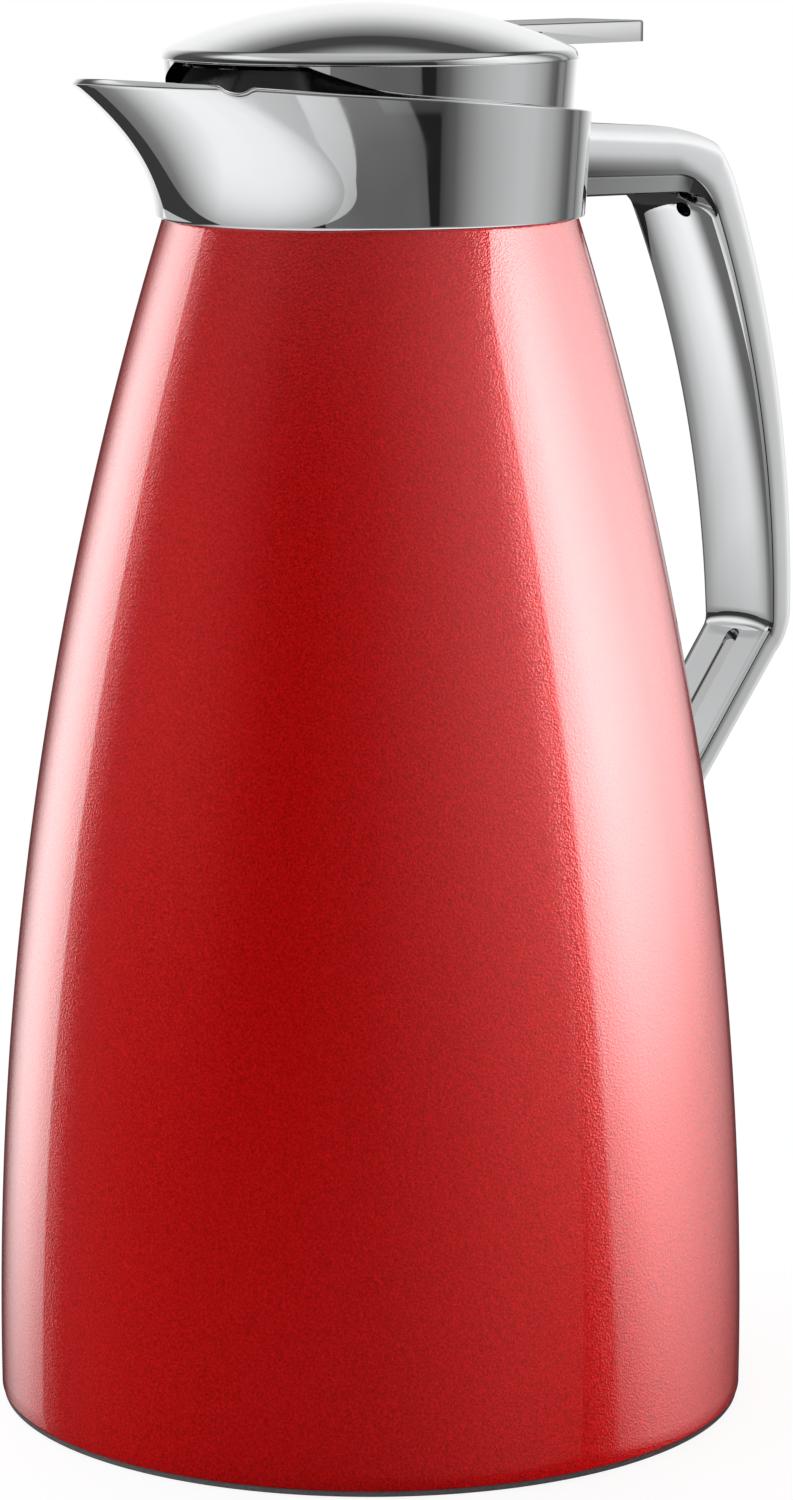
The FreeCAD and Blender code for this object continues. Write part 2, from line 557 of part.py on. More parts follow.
# The handle is a chromed die casting with pockets for its two tongues, a screw recess and a slot in the lower arm.
def handle():
    runs, grip_centre = handle_line()
    root, arm_up = runs[0][0][:2]
    arm_way = (runs[0][1][0] - root).normalize()
    tail_start, tail_up = runs[-1][0][:2]
    tail_way = (runs[-1][1][0] - tail_start).normalize()
    lengths = [Part.makeLoft([grip_section(*section) for section in run], True, len(run) == 2) for run in runs]
    form = formed("handle_form", lengths[0].fuse(lengths[1:]))

    collar_cone = doc.addObject("Part::Cone", "collar_cone")
    low, high = "neck_z - collar_flange", "rim_z + spout_height"
    collar_cone.setExpression("Radius1", bound(neck_back_radius(low) + " + seat_gap"))
    collar_cone.setExpression("Radius2", bound(neck_back_radius(high) + " + seat_gap"))
    collar_cone.setExpression("Height", bound("(%s) - (%s)" % (high, low)))
    collar_cone.setExpression("Placement.Base.z", bound(low))
    casing_block = turned("casing_block", [
        ("0", "0"),
        (casing_radius("0") + " + seat_gap", "0", CURVE_R + " + seat_gap", 1),
        (casing_radius("neck_z", "-seat_gap"), "neck_z"),
        ("0", "neck_z"),
    ])
    trimmed = boolean("Part::Cut", "handle_trimmed_top", form, collar_cone)
    trimmed = boolean("Part::Cut", "handle_trimmed", trimmed, casing_block)

    middle_lift = arm_up * value("(root_crown - root_belly) / 2 - lug_inset")
    lug_start = root + middle_lift
    reach = value("lug_reach")
    lug_pocket = along_line("lug_pocket", lug_start, arm_way, arm_up, "lug_width", "lug_height",
                            reach + value("seat_gap"), "seat_gap")
    hollow = boolean("Part::Cut", "handle_hollow", trimmed, lug_pocket)
    lug_bar = along_line("lug_bar", lug_start, arm_way, arm_up, "lug_width", "lug_height", reach)
    NODES["handle_lug"] = boolean("Part::Cut", "handle_lug", lug_bar, collar_cone)

    tail_lift = tail_up * value("bracket_lift")
    casing_meet = tail_start + tail_way * meeting_length(tail_start, tail_way)
    bracket_start = casing_meet + tail_lift + tail_way * value("root_crown")
    bracket_length = value("bracket_reach + root_crown")
    bracket_pocket = along_line("bracket_pocket", bracket_start, tail_way * -1, tail_up, "bracket_width",
                                "bracket_height", bracket_length + value("seat_gap"), "seat_gap")
    hollow = boolean("Part::Cut", "handle_hollow_both", hollow, bracket_pocket)
    bracket_bar = along_line("bracket_bar", bracket_start, tail_way * -1, tail_up, "bracket_width",
                             "bracket_height", bracket_length)
    NODES["lower_bracket"] = boolean("Part::Cut", "lower_bracket", bracket_bar, casing_block)

    outward = outward_at(value("screw_turn"))
    face = grip_centre + outward * value("grip_curve_r - grip_belly")
    seat = face + outward * value("screw_sink + screw_head")
    recess = Part.makeCylinder(value("screw_head_r + seat_gap"), value("screw_sink + screw_head + root_belly"),
                               seat, outward * -1)
    pilot = Part.makeCylinder(value("screw_r + pin_gap"), value("screw_length + seat_gap"), seat, outward)
    hollow = boolean("Part::Cut", "handle_screwed", hollow, formed("screw_room", recess.fuse(pilot)))
    head = Part.makeCylinder(value("screw_head_r"), value("screw_head"), seat, outward * -1)
    shank = Part.makeCylinder(value("screw_r"), value("screw_length"), seat, outward)
    socket = Part.makeCylinder(value("screw_r / 2"), value("screw_head / 2"),
                               seat - outward * value("screw_head / 2"), outward * -1)
    NODES["handle_screw"] = formed("handle_screw", head.fuse(shank).cut(socket))

    slot_start = tail_start + tail_way * value("slot_start") - tail_up * value("tail_belly")
    slot_room = obround(slot_start + tail_up * value("slot_depth"), tail_way, tail_up,
                        value("slot_width"), value("slot_length"), value("2 * slot_depth"))
    NODES["handle"] = boolean("Part::Cut", "handle", hollow, formed("slot_room", slot_room))
    strip = obround(slot_start + tail_way * value("strip_start") + tail_up * value("slot_depth"), tail_way, tail_up,
                    value("slot_width - 2 * seat_gap"), value("slot_length - strip_start - seat_gap"),
                    value("slot_depth - strip_sink"))
    NODES["handle_strip"] = formed("handle_strip", strip)


def meeting_length(place, way):
    """How far a line from a place runs until it meets the casing."""
    low, high = 0.0, value("lower_length")
    while high - low > 0.001:
        middle = (low + high) / 2
        at = place + way * middle
        outside = at.x > value(casing_radius(str(at.z)))
        low, high = (middle, high) if outside else (low, middle)
    return low


def obround(start, way, up, width, length, depth):
    """A round-ended bar: it starts at its rounded end, runs along way and is sunk against up by depth."""
    half = width / 2
    side = Vector(0, 1, 0) * half
    first, last = start + way * half, start + way * (length - half)
    edges = [
        Part.LineSegment(first + side, last + side).toShape(),
        Part.Arc(last + side, last + way * half, last - side).toShape(),
        Part.LineSegment(last - side, first - side).toShape(),
        Part.Arc(first - side, start, first + side).toShape(),
    ]
    return Part.Face(Part.Wire(edges)).extrude(up * -depth)


# The lid cap is a chromed dome with a skirt, open towards the spout and slotted for the lever.
def lid_cap():
    dome_centre = "(%s - dome_r)" % LID_TOP
    inner_r = "(skirt_low_r - skirt_wall)"
    body = turned("lid_cap", [
        ("0", LID_TOP),
        ("0", LID_TOP + " - dome_wall", "dome_r - dome_wall", -1),
        (inner_r, dome_centre + " + sqrt((dome_r - dome_wall)^2 - %s^2)" % inner_r),
        (inner_r, SKIRT_BOTTOM),
        ("skirt_low_r", SKIRT_BOTTOM),
        ("dome_edge_r - skirt_step", DOME_EDGE_Z),
        ("dome_edge_r", DOME_EDGE_Z),
        ("dome_edge_r", DOME_EDGE_Z + " + dome_lip", "dome_r", 1),
    ])
    edge_z = value(DOME_EDGE_Z + " + dome_lip")
    rim = edges_where(body.Shape, lambda edge: abs(edge.BoundBox.ZMin - edge_z) < 0.01
                      and abs(edge.BoundBox.ZMax - edge_z) < 0.01)
    rounded(body, "dome_edge", rim, "dome_round")
    mouth = outline(new_sketch(body, "pour_mouth", "YZ_Plane"), [
        ("-cut_low_half", SKIRT_BOTTOM + " - seat_gap"),
        ("cut_low_half", SKIRT_BOTTOM + " - seat_gap"),
        ("cut_low_half", "cut_low_z"),
        ("cut_top_half", DOME_EDGE_Z),
        ("-cut_top_half", DOME_EDGE_Z),
        ("-cut_low_half", "cut_low_z"),
    ])
    cut(body, "pour_cut", mouth, "2 * dome_edge_r")
    half = "lever_width / 2 + slot_margin"
    slot = outline(new_sketch(body, "lever_slot", "XY_Plane", LID_TOP), rectangle(
        "pivot_x + hub_r / 2", "-(%s)" % half, "2 * dome_edge_r", half))
    cut(body, "lever_cut", slot, LID_TOP + " - pivot_z + hub_r / 2")
    NODES["lid_cap"] = body


# The lid's plug: a cup with the valve's bore in its floor, a flange that sits on the deck, and the pouring chamber.
def lid_housing():
    bore_r = "(plug_r - plug_wall)"
    groove_low = "%s + gasket_low" % PLUG_BOTTOM
    body = turned("lid_housing", [
        ("valve_bore_r", PLUG_BOTTOM),
        ("plug_r", PLUG_BOTTOM),
        ("plug_r", groove_low),
        ("plug_r - groove_depth", groove_low),
        ("plug_r - groove_depth", groove_low + " + gasket_height"),
        ("plug_r", groove_low + " + gasket_height"),
        ("plug_r", LID_SEAT),
        ("skirt_low_r", LID_SEAT),
        ("skirt_low_r", SKIRT_BOTTOM),
        (HOUSING_R, SKIRT_BOTTOM),
        (HOUSING_R, BRIDGE_Z),
        (HOUSING_R + " - housing_wall", BRIDGE_Z),
        (HOUSING_R + " - housing_wall", SKIRT_BOTTOM),
        (bore_r, SKIRT_BOTTOM),
        (bore_r, VALVE_SEAT),
        ("valve_bore_r", VALVE_SEAT),
    ])
    window = outline(new_sketch(body, "pour_window", "YZ_Plane"), rectangle(
        "-window_half", SKIRT_BOTTOM, "window_half", BRIDGE_Z + " + seat_gap"))
    cut(body, "window_cut", window, "2 * dome_edge_r")
    screw_holes(body, BRIDGE_Z, "lid_screw_length - bridge_thick + seat_gap")
    NODES["lid_housing"] = body
    seat = "plug_r - groove_depth + pin_gap"
    NODES["lid_gasket"] = turned("lid_gasket", [
        (seat, groove_low + " + pin_gap"),
        ("throat_r - run_gap", groove_low + " + pin_gap"),
        ("throat_r - run_gap", groove_low + " + gasket_height / 3"),
        ("plug_r + groove_depth", groove_low + " + gasket_height / 2"),
        ("throat_r - run_gap", groove_low + " + gasket_height * 2 / 3"),
        ("throat_r - run_gap", groove_low + " + gasket_height - pin_gap"),
        (seat, groove_low + " + gasket_height - pin_gap"),
    ])


SCREW_TURNS = ("first_screw_turn", "next_screw_turn", "-next_screw_turn", "-first_screw_turn")
SCREW_CIRCLE = "(skirt_low_r - skirt_wall - seat_gap - housing_wall / 2)"


def screw_places():
    """The lid screws' centres, as formulas."""
    return [("%s * cos(%s * 1 deg)" % (SCREW_CIRCLE, turn), "%s * sin(%s * 1 deg)" % (SCREW_CIRCLE, turn))
            for turn in SCREW_TURNS]


def screw_holes(body, top, depth):
    sketch = new_sketch(body, body.Name + "_screw_holes", "XY_Plane", top)
    for x, y in screw_places():
        round_outline(sketch, x, y, "lid_screw_r + pin_gap")
    cut(body, body.Name + "_screw_cut", sketch, depth)


# The bridge covers the chamber, guides the stem, and carries the lever's ears and the baffle behind the mouth.
def lid_bridge():
    body = turned("lid_bridge", [
        ("stem_r + pin_gap", BRIDGE_Z),
        (HOUSING_R, BRIDGE_Z),
        (HOUSING_R, BRIDGE_TOP + " + baffle_height"),
        (HOUSING_R + " - baffle_wall", BRIDGE_TOP + " + baffle_height"),
        (HOUSING_R + " - baffle_wall", BRIDGE_TOP),
        ("stem_r + pin_gap", BRIDGE_TOP),
    ])
    back = outline(new_sketch(body, "baffle_back", "XY_Plane", BRIDGE_TOP), rectangle(
        "-baffle_front", "-dome_edge_r", "dome_edge_r", "dome_edge_r"))
    cut(body, "baffle_cut", back, "baffle_height", reverse=True)
    ears = outline(new_sketch(body, "ear_side", "XZ_Plane"), [
        ("pivot_x - hub_r", BRIDGE_TOP),
        ("pivot_x + hub_r", BRIDGE_TOP),
        ("pivot_x + hub_r", "pivot_z", "hub_r", 1),
        ("pivot_x", "pivot_z + hub_r", "hub_r", 1),
        ("pivot_x - hub_r", "pivot_z"),
    ])
    padded(body, "ears", ears, "hub_width + 2 * run_gap + 2 * ear_wall", symmetric=True)
    between = outline(new_sketch(body, "ear_gap_side", "XZ_Plane"), rectangle(
        "pivot_x - 2 * hub_r", BRIDGE_TOP, "pivot_x + 2 * hub_r", "pivot_z + 2 * hub_r"))
    cut(body, "ear_gap", between, "hub_width + 2 * run_gap", symmetric=True)
    pin_hole = round_outline(new_sketch(body, "ear_hole", "XZ_Plane"), "pivot_x", "pivot_z", "pivot_r + pin_gap")
    cut(body, "ear_bore", pin_hole, "2 * lever_width", symmetric=True)
    screw_holes(body, BRIDGE_TOP, "bridge_thick")
    NODES["lid_bridge"] = body

    pin = doc.addObject("PartDesign::Body", "pivot_pin")
    padded(pin, "pin", round_outline(new_sketch(pin, "pin_round", "XZ_Plane"), "pivot_x", "pivot_z", "pivot_r"),
           "hub_width + 2 * run_gap + 2 * ear_wall", symmetric=True)
    NODES["pivot_pin"] = pin

    screws = []
    for number, (x, y) in enumerate(screw_places()):
        shank = cylinder("lid_screw_shank_%d" % number, "lid_screw_r", "lid_screw_length",
                         BRIDGE_TOP + " - lid_screw_length")
        head = cylinder("lid_screw_head_%d" % number, "lid_screw_head_r", "lid_screw_head", BRIDGE_TOP)
        for piece in (shank, head):
            piece.setExpression("Placement.Base.x", bound(x))
            piece.setExpression("Placement.Base.y", bound(y))
        screws.append(boolean("Part::Fuse", "lid_screw_%d" % number, head, shank))
    group = doc.addObject("Part::Compound", "lid_screws")
    group.Links = screws
    doc.recompute()
    NODES["lid_screws"] = group


# The lever: a chromed channel that the thumb presses, and the rocker in it that turns on the pin and lifts the stem.
def lever():
    start = "pivot_x + hub_r / 2 + run_gap"
    half = "lever_width / 2"
    body = doc.addObject("PartDesign::Body", "thumb_lever")
    plan = outline(new_sketch(body, "lever_plan", "XY_Plane", LEVER_BOTTOM), [
        (start, "-" + half),
        ("lever_tip - lever_corner_r", "-" + half, "lever_corner_r", 1),
        ("lever_tip", "-%s + lever_corner_r" % half),
        ("lever_tip", half + " - lever_corner_r", "lever_corner_r", 1),
        ("lever_tip - lever_corner_r", half),
        (start, half),
    ])
    padded(body, "lever_block", plan, "lever_height")
    channel = outline(new_sketch(body, "lever_channel", "XY_Plane", LEVER_BOTTOM), rectangle(
        "pivot_x", "-%s + lever_wall" % half, "lever_tip - lever_wall", half + " - lever_wall"))
    cut(body, "channel_cut", channel, "lever_height - lever_wall", reverse=True)
    slant = outline(new_sketch(body, "skirt_end", "XZ_Plane"), [
        ("pivot_x", LEVER_BOTTOM),
        ("skirt_start", LEVER_BOTTOM),
        ("skirt_start - skirt_slant", PLATE_BOTTOM),
        ("pivot_x", PLATE_BOTTOM),
    ])
    cut(body, "skirt_cut", slant, "2 * lever_width", symmetric=True)
    NODES["thumb_lever"] = body

    arm_bottom = "(pivot_z - rocker_thick / 2)"
    rocker = doc.addObject("PartDesign::Body", "lever_rocker")
    side = outline(new_sketch(rocker, "rocker_side", "XZ_Plane"), [
        ("-fork_reach", arm_bottom),
        ("pivot_x", arm_bottom),
        ("skirt_start - hub_r * 2", LEVER_BOTTOM),
        ("lever_tip - 2 * lever_corner_r", LEVER_BOTTOM + " + lever_wall / 2"),
        ("lever_tip - 2 * lever_corner_r", PLATE_BOTTOM),
        ("pivot_x + hub_r", PLATE_BOTTOM),
        ("pivot_x", ROCKER_TOP),
        ("-fork_reach", ROCKER_TOP),
    ])
    padded(rocker, "rocker_arm", side, "hub_width", symmetric=True)
    hub = round_outline(new_sketch(rocker, "rocker_hub", "XZ_Plane"), "pivot_x", "pivot_z", "hub_r")
    padded(rocker, "hub", hub, "hub_width", symmetric=True)
    bore = round_outline(new_sketch(rocker, "rocker_bore", "XZ_Plane"), "pivot_x", "pivot_z", "pivot_r + pin_gap")
    cut(rocker, "hub_bore", bore, "2 * lever_width", symmetric=True)
    fork = outline(new_sketch(rocker, "fork", "XY_Plane", ROCKER_TOP + " + hub_r"), rectangle(
        "-2 * fork_reach", "-stem_r - slot_margin", "2 * stem_r", "stem_r + slot_margin"))
    cut(rocker, "fork_cut", fork, "rocker_thick + 2 * hub_r")
    NODES["lever_rocker"] = rocker


# The valve: a disc with its seal on the plug's floor, on a stem that the fork lifts by its nut.
def valve():
    seal_top = VALVE_SEAT + " + valve_seal_thick"
    NODES["valve_seal"] = turned("valve_seal", rectangle(
        "valve_hub_r", VALVE_SEAT, "valve_r", seal_top))
    NODES["valve_plug"] = turned("valve_plug", [
        ("stem_r + pin_gap", seal_top),
        ("valve_r", seal_top),
        ("valve_r", DISC_TOP),
        ("valve_hub_r", DISC_TOP),
        ("valve_hub_r", DISC_TOP + " + valve_hub"),
        ("stem_r + pin_gap", DISC_TOP + " + valve_hub"),
    ])
    nut_top = NUT_BOTTOM + " + nut_height"
    NODES["valve_stem"] = turned("valve_stem", [
        ("0", VALVE_SEAT + " + pin_gap"),
        ("valve_hub_r - pin_gap", VALVE_SEAT + " + pin_gap"),
        ("valve_hub_r - pin_gap", seal_top + " - pin_gap"),
        ("stem_r", seal_top + " - pin_gap"),
        ("stem_r", nut_top),
        ("0", nut_top),
    ])
    NODES["stem_nut"] = turned("stem_nut", rectangle(
        "stem_r + pin_gap", NUT_BOTTOM, "nut_r", nut_top))


def biarc(start, start_way, end, end_way):
    """Two arcs that join two points with the given directions there."""
    gap = end - start
    ways = start_way + end_way
    spread = 2 * (1 - start_way.dot(end_way))
    along = gap.dot(ways)
    size = (-along + math.sqrt(along ** 2 + spread * gap.dot(gap))) / spread
    first, second = start + start_way * size, end - end_way * size
    middle = (first + second) * 0.5

    def arc(low, corner, high):
        bow = ((low - corner).normalize() + (high - corner).normalize()).normalize()
        half = math.acos(max(-1, min(1, (low - corner).normalize().dot((high - corner).normalize())))) / 2
        reach = (low - corner).Length
        radius = reach * math.tan(half)
        return Part.Arc(low, corner + bow * (reach / math.cos(half) - radius), high).toShape()

    return [arc(start, first, middle), arc(middle, second, end)]


# The return spring: one round wire wound between the valve's disc and the bridge.
def valve_spring():
    coil_r, wire_r, turns = value("coil_r"), value("wire_r"), value("coil_turns")
    low = value(DISC_TOP) + wire_r + value("seat_gap")
    high = value(BRIDGE_Z) - wire_r - value("seat_gap")
    quarters = int(round(4 * turns))
    climb = (high - low) / quarters

    def point(step):
        angle = math.pi / 2 * step
        return Vector(coil_r * math.cos(angle), coil_r * math.sin(angle), low + climb * step)

    def way(step):
        angle = math.pi / 2 * step
        return Vector(-coil_r * math.sin(angle), coil_r * math.cos(angle), climb * 2 / math.pi).normalize()

    edges = []
    for step in range(quarters):
        edges += biarc(point(step), way(step), point(step + 1), way(step + 1))
    start = Part.Wire(Part.Circle(point(0), way(0), wire_r).toShape())
    coil = Part.BRepOffsetAPI.MakePipeShell(Part.Wire(edges))
    coil.add(start)
    coil.build()
    coil.makeSolid()
    print("spring gap between turns", round(4 * climb - 2 * wire_r, 2), "mm")
    NODES["valve_spring"] = formed("valve_spring", coil.shape())


outer_casing()
base()
flask()
collar()
collar_insert()
handle()
lid_cap()
lid_housing()
lid_bridge()
lever()
valve()
valve_spring()
doc.recompute()

failed = [item.Name for item in doc.Objects if "Invalid" in item.State or "Error" in item.State]
if failed:
    raise ValueError("failed objects: " + ", ".join(failed))
for node, item in NODES.items():
    item.Label = node
    if item.Shape.isNull() or not item.Shape.isValid() or not item.Shape.Solids:
        raise ValueError("bad shape: " + node)

os.makedirs("parts", exist_ok=True)
for node, item in NODES.items():
    item.Shape.exportStep("parts/%s.step" % node)
print(len(NODES), "nodes")
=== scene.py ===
from math import acos, asin, atan2, cos, degrees, hypot, pi, radians, sin, sqrt, tan

import bmesh
import bpy
from mathutils import Matrix, Vector


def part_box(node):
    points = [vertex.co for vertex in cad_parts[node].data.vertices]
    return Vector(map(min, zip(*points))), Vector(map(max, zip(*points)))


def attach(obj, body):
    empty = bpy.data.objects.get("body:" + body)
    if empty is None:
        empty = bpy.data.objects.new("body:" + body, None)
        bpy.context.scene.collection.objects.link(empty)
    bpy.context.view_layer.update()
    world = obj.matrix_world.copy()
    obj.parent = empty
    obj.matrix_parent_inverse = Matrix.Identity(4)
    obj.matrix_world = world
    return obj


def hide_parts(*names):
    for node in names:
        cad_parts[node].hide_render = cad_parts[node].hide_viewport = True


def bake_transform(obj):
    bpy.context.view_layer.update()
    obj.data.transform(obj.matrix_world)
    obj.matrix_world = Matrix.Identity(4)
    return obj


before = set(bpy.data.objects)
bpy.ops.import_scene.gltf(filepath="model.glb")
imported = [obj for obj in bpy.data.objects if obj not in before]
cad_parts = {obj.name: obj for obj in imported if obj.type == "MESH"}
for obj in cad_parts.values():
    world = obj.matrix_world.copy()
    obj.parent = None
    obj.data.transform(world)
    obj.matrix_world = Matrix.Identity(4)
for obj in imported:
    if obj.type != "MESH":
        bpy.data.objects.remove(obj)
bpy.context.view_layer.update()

# Casing: one drawn and spun steel shell, a curved cone whose neck is turned in under the collar.
# It is sprayed with a metallic red and a thick clear coat; the pigment's flakes sparkle through the coat.
BELLY_R, BELLY_Z, NECK_R, NECK_Z, NECK_BORE_R = 72.7, 10, 39.3, 229.8, 35
CURVE_R = ((BELLY_R - NECK_R) ** 2 + (NECK_Z - BELLY_Z) ** 2) / (2 * (BELLY_R - NECK_R))
CASING_FOOT, CASING_WALL, NECK_EDGE = 1.3, 0.8, 0.5
CASING_STEPS_UP, CASING_STEPS_ROUND = 72, 240
LACQUER_DARK, LACQUER_BRIGHT = (0.36, 0.0004, 0.001, 1), (0.8, 0.003, 0.004, 1)
LACQUER_METAL, LACQUER_SMOOTH, LACQUER_HAZY, COAT_ROUGHNESS, COAT_IOR = 0.12, 0.14, 0.22, 0.035, 1.4
CLOUD_SCALE, FLAKE_SCALE, FLAKE_STRENGTH, FLAKE_HEIGHT = 2400, 2300, 0.22, 0.0002
MILLIMETRE, JOIN, SHARP_TURN, EDGE_TURN = 0.001, 0.0005, radians(38), radians(50)


def casing_radius(height):
    return BELLY_R - CURVE_R + sqrt(CURVE_R ** 2 - (height - BELLY_Z) ** 2)


def closed(bm):
    """Merges a form's seams and poles and turns its faces outwards."""
    bmesh.ops.remove_doubles(bm, verts=bm.verts, dist=JOIN)
    bmesh.ops.recalc_face_normals(bm, faces=bm.faces)
    return bm


def finished(name, bm, material, body, node):
    """Turns a bmesh in millimetres into a smooth piece in metres that stands for a CAD node on a body."""
    bmesh.ops.scale(bm, vec=(MILLIMETRE, MILLIMETRE, MILLIMETRE), verts=bm.verts)
    mesh = bpy.data.meshes.new(name)
    bm.to_mesh(mesh)
    bm.free()
    mesh.shade_smooth()
    mesh.set_sharp_from_angle(angle=SHARP_TURN)
    mesh.materials.append(material)
    piece = bpy.data.objects.new(name, mesh)
    bpy.context.scene.collection.objects.link(piece)
    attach(piece, body)
    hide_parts(node)
    return piece


def turned(bm, steps):
    """Spins a profile once round the jug's axis."""
    bmesh.ops.spin(bm, geom=bm.verts[:] + bm.edges[:], cent=(0, 0, 0), axis=(0, 0, 1), angle=2 * pi, steps=steps,
                   use_merge=True)


def drawn_on(bm, vertex, *places):
    """Extends a profile from a vertex through places in the XZ plane, and gives the last vertex."""
    for x, z in places:
        made = bmesh.ops.extrude_vert_indiv(bm, verts=[vertex])["verts"]
        made[0].co = (x, 0, z)
        vertex = made[0]
    return vertex


def walled(piece, thickness, edge):
    """Gives a shell its wall on the inside and softens its edges."""
    wall = piece.modifiers.new("wall", "SOLIDIFY")
    wall.thickness = thickness * MILLIMETRE
    wall.offset = -1
    soft = piece.modifiers.new("edge", "BEVEL")
    soft.width = edge * MILLIMETRE
    soft.segments = 3
    soft.limit_method = "ANGLE"
    soft.angle_limit = EDGE_TURN


def finish_of(name):
    """A new material with its nodes, links and shader."""
    material = bpy.data.materials.new(name)
    material.use_nodes = True
    tree = material.node_tree
    return material, tree.nodes, tree.links, tree.nodes["Principled BSDF"]


def textured(nodes, links, kind, **values):
    """A texture node on the piece's own coordinates."""
    texture = nodes.new(kind)
    for name, value in values.items():
        texture.inputs[name].default_value = value
    links.new(nodes.new("ShaderNodeTexCoord").outputs["Object"], texture.inputs["Vector"])
    return texture


def ramped(nodes, links, source, *stops):
    """A colour ramp with stops of place and colour."""
    ramp = nodes.new("ShaderNodeValToRGB")
    points = ramp.color_ramp.elements
    while len(points) < len(stops):
        points.new(0.5)
    for point, (place, colour) in zip(points, stops):
        point.position = place
        point.color = colour
    links.new(source, ramp.inputs["Fac"])
    return ramp.outputs["Color"]


def grey(level):
    return (level, level, level, 1)


red_lacquer, nodes, links, shader = finish_of("red_lacquer")
flakes = textured(nodes, links, "ShaderNodeTexVoronoi", Scale=FLAKE_SCALE, Randomness=1)
cloud = textured(nodes, links, "ShaderNodeTexNoise", Scale=CLOUD_SCALE, Detail=2, Roughness=0.6)
tone = ramped(nodes, links, cloud.outputs["Fac"], (0.3, LACQUER_DARK), (0.72, LACQUER_BRIGHT))
links.new(tone, shader.inputs["Base Color"])
flake_tilt = nodes.new("ShaderNodeBump")
flake_tilt.inputs["Strength"].default_value = FLAKE_STRENGTH
flake_tilt.inputs["Distance"].default_value = FLAKE_HEIGHT
links.new(flakes.outputs["Distance"], flake_tilt.inputs["Height"])
links.new(flake_tilt.outputs["Normal"], shader.inputs["Normal"])
haze = ramped(nodes, links, cloud.outputs["Fac"], (0.2, grey(LACQUER_SMOOTH)), (0.8, grey(LACQUER_HAZY)))
links.new(haze, shader.inputs["Roughness"])
shader.inputs["Metallic"].default_value = LACQUER_METAL
shader.inputs["Coat Weight"].default_value = 1
shader.inputs["Coat Roughness"].default_value = COAT_ROUGHNESS
shader.inputs["Coat IOR"].default_value = COAT_IOR

bm = bmesh.new()
foot = bm.verts.new((casing_radius(CASING_FOOT), 0, CASING_FOOT))
foot_turn = asin((BELLY_Z - CASING_FOOT) / CURVE_R)
neck_turn = asin((NECK_Z - BELLY_Z) / CURVE_R)
bmesh.ops.spin(bm, geom=[foot], cent=(BELLY_R - CURVE_R, 0, BELLY_Z), axis=(0, -1, 0),
               angle=foot_turn + neck_turn, steps=CASING_STEPS_UP)
neck = max(bm.verts, key=lambda vertex: vertex.co.z)
drawn_on(bm, neck, (NECK_BORE_R, NECK_Z))
turned(bm, CASING_STEPS_ROUND)
casing = finished("casing_shell", closed(bm), red_lacquer, "jug", "outer_casing")
walled(casing, CASING_WALL, NECK_EDGE)

# Base ring: a moulded grey plastic ring pushed into the casing's foot; only its lip shows under the lacquer.
# The floor behind it is the same plastic, and the pad that the jug stands on is soft black rubber.
RING_LOW, RING_INSET, RING_TOP, RING_WALL, LEDGE, LEDGE_TOP = 0.2, 0.4, 8, 5.7, 2, 2
SEAT_GAP, RING_STEPS, LIP_EDGE, LIP_DEPTH, LEVEL = 0.15, 192, 0.25, 1, 0.01
PLASTIC_GREY, PLASTIC_PALE = (0.23, 0.23, 0.24, 1), (0.34, 0.34, 0.35, 1)
GRAIN_STRENGTH, GRAIN_HEIGHT, GLOSS_SPREAD = 0.12, 0.0001, 0.2


def moulded(name, dark, pale, grain, rough):
    """A moulded plastic or rubber: fine grain in its colour, its gloss and its surface."""
    material, nodes, links, shader = finish_of(name)
    noise = textured(nodes, links, "ShaderNodeTexNoise", Scale=grain, Detail=5, Roughness=0.6)
    links.new(ramped(nodes, links, noise.outputs["Fac"], (0.3, dark), (0.7, pale)), shader.inputs["Base Color"])
    gloss = ramped(nodes, links, noise.outputs["Fac"], (0.25, grey(rough * (1 - GLOSS_SPREAD))),
                   (0.75, grey(rough * (1 + GLOSS_SPREAD))))
    links.new(gloss, shader.inputs["Roughness"])
    skin = nodes.new("ShaderNodeBump")
    skin.inputs["Strength"].default_value = GRAIN_STRENGTH
    skin.inputs["Distance"].default_value = GRAIN_HEIGHT
    links.new(noise.outputs["Fac"], skin.inputs["Height"])
    links.new(skin.outputs["Normal"], shader.inputs["Normal"])
    return material


grey_plastic = moulded("grey_plastic", PLASTIC_GREY, PLASTIC_PALE, grain=1400, rough=0.42)
black_rubber = moulded("black_rubber", grey(0.012), grey(0.03), grain=1700, rough=0.7)


def dressed(material, *names):
    """Gives CAD nodes their finish."""
    for name in names:
        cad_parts[name].material_slots[0].material = material


bm = bmesh.new()
spigot = casing_radius(CASING_FOOT) - CASING_WALL - SEAT_GAP
inside = spigot - RING_WALL
first = bm.verts.new((inside - LEDGE, 0, RING_LOW))
drawn_on(bm, first, (BELLY_R - RING_INSET, RING_LOW), (BELLY_R - RING_INSET, CASING_FOOT), (spigot, CASING_FOOT),
         (spigot, RING_TOP), (inside, RING_TOP), (inside, LEDGE_TOP), (inside - LEDGE, LEDGE_TOP),
         (inside - LEDGE, RING_LOW))
turned(bm, RING_STEPS)
closed(bm)
lip = [edge for edge in bm.edges if all(hypot(*vertex.co.xy) > BELLY_R - LIP_DEPTH for vertex in edge.verts)
       and abs(edge.verts[0].co.z - edge.verts[1].co.z) < LEVEL]
bmesh.ops.bevel(bm, geom=lip, offset=LIP_EDGE, segments=3, profile=0.5, affect="EDGES", material=-1)
foot_ring = finished("foot_ring", bm, grey_plastic, "jug", "base_ring")
dressed(grey_plastic, "base_plate")
dressed(black_rubber, "foot_pad", "liner_cushion", "neck_seal")

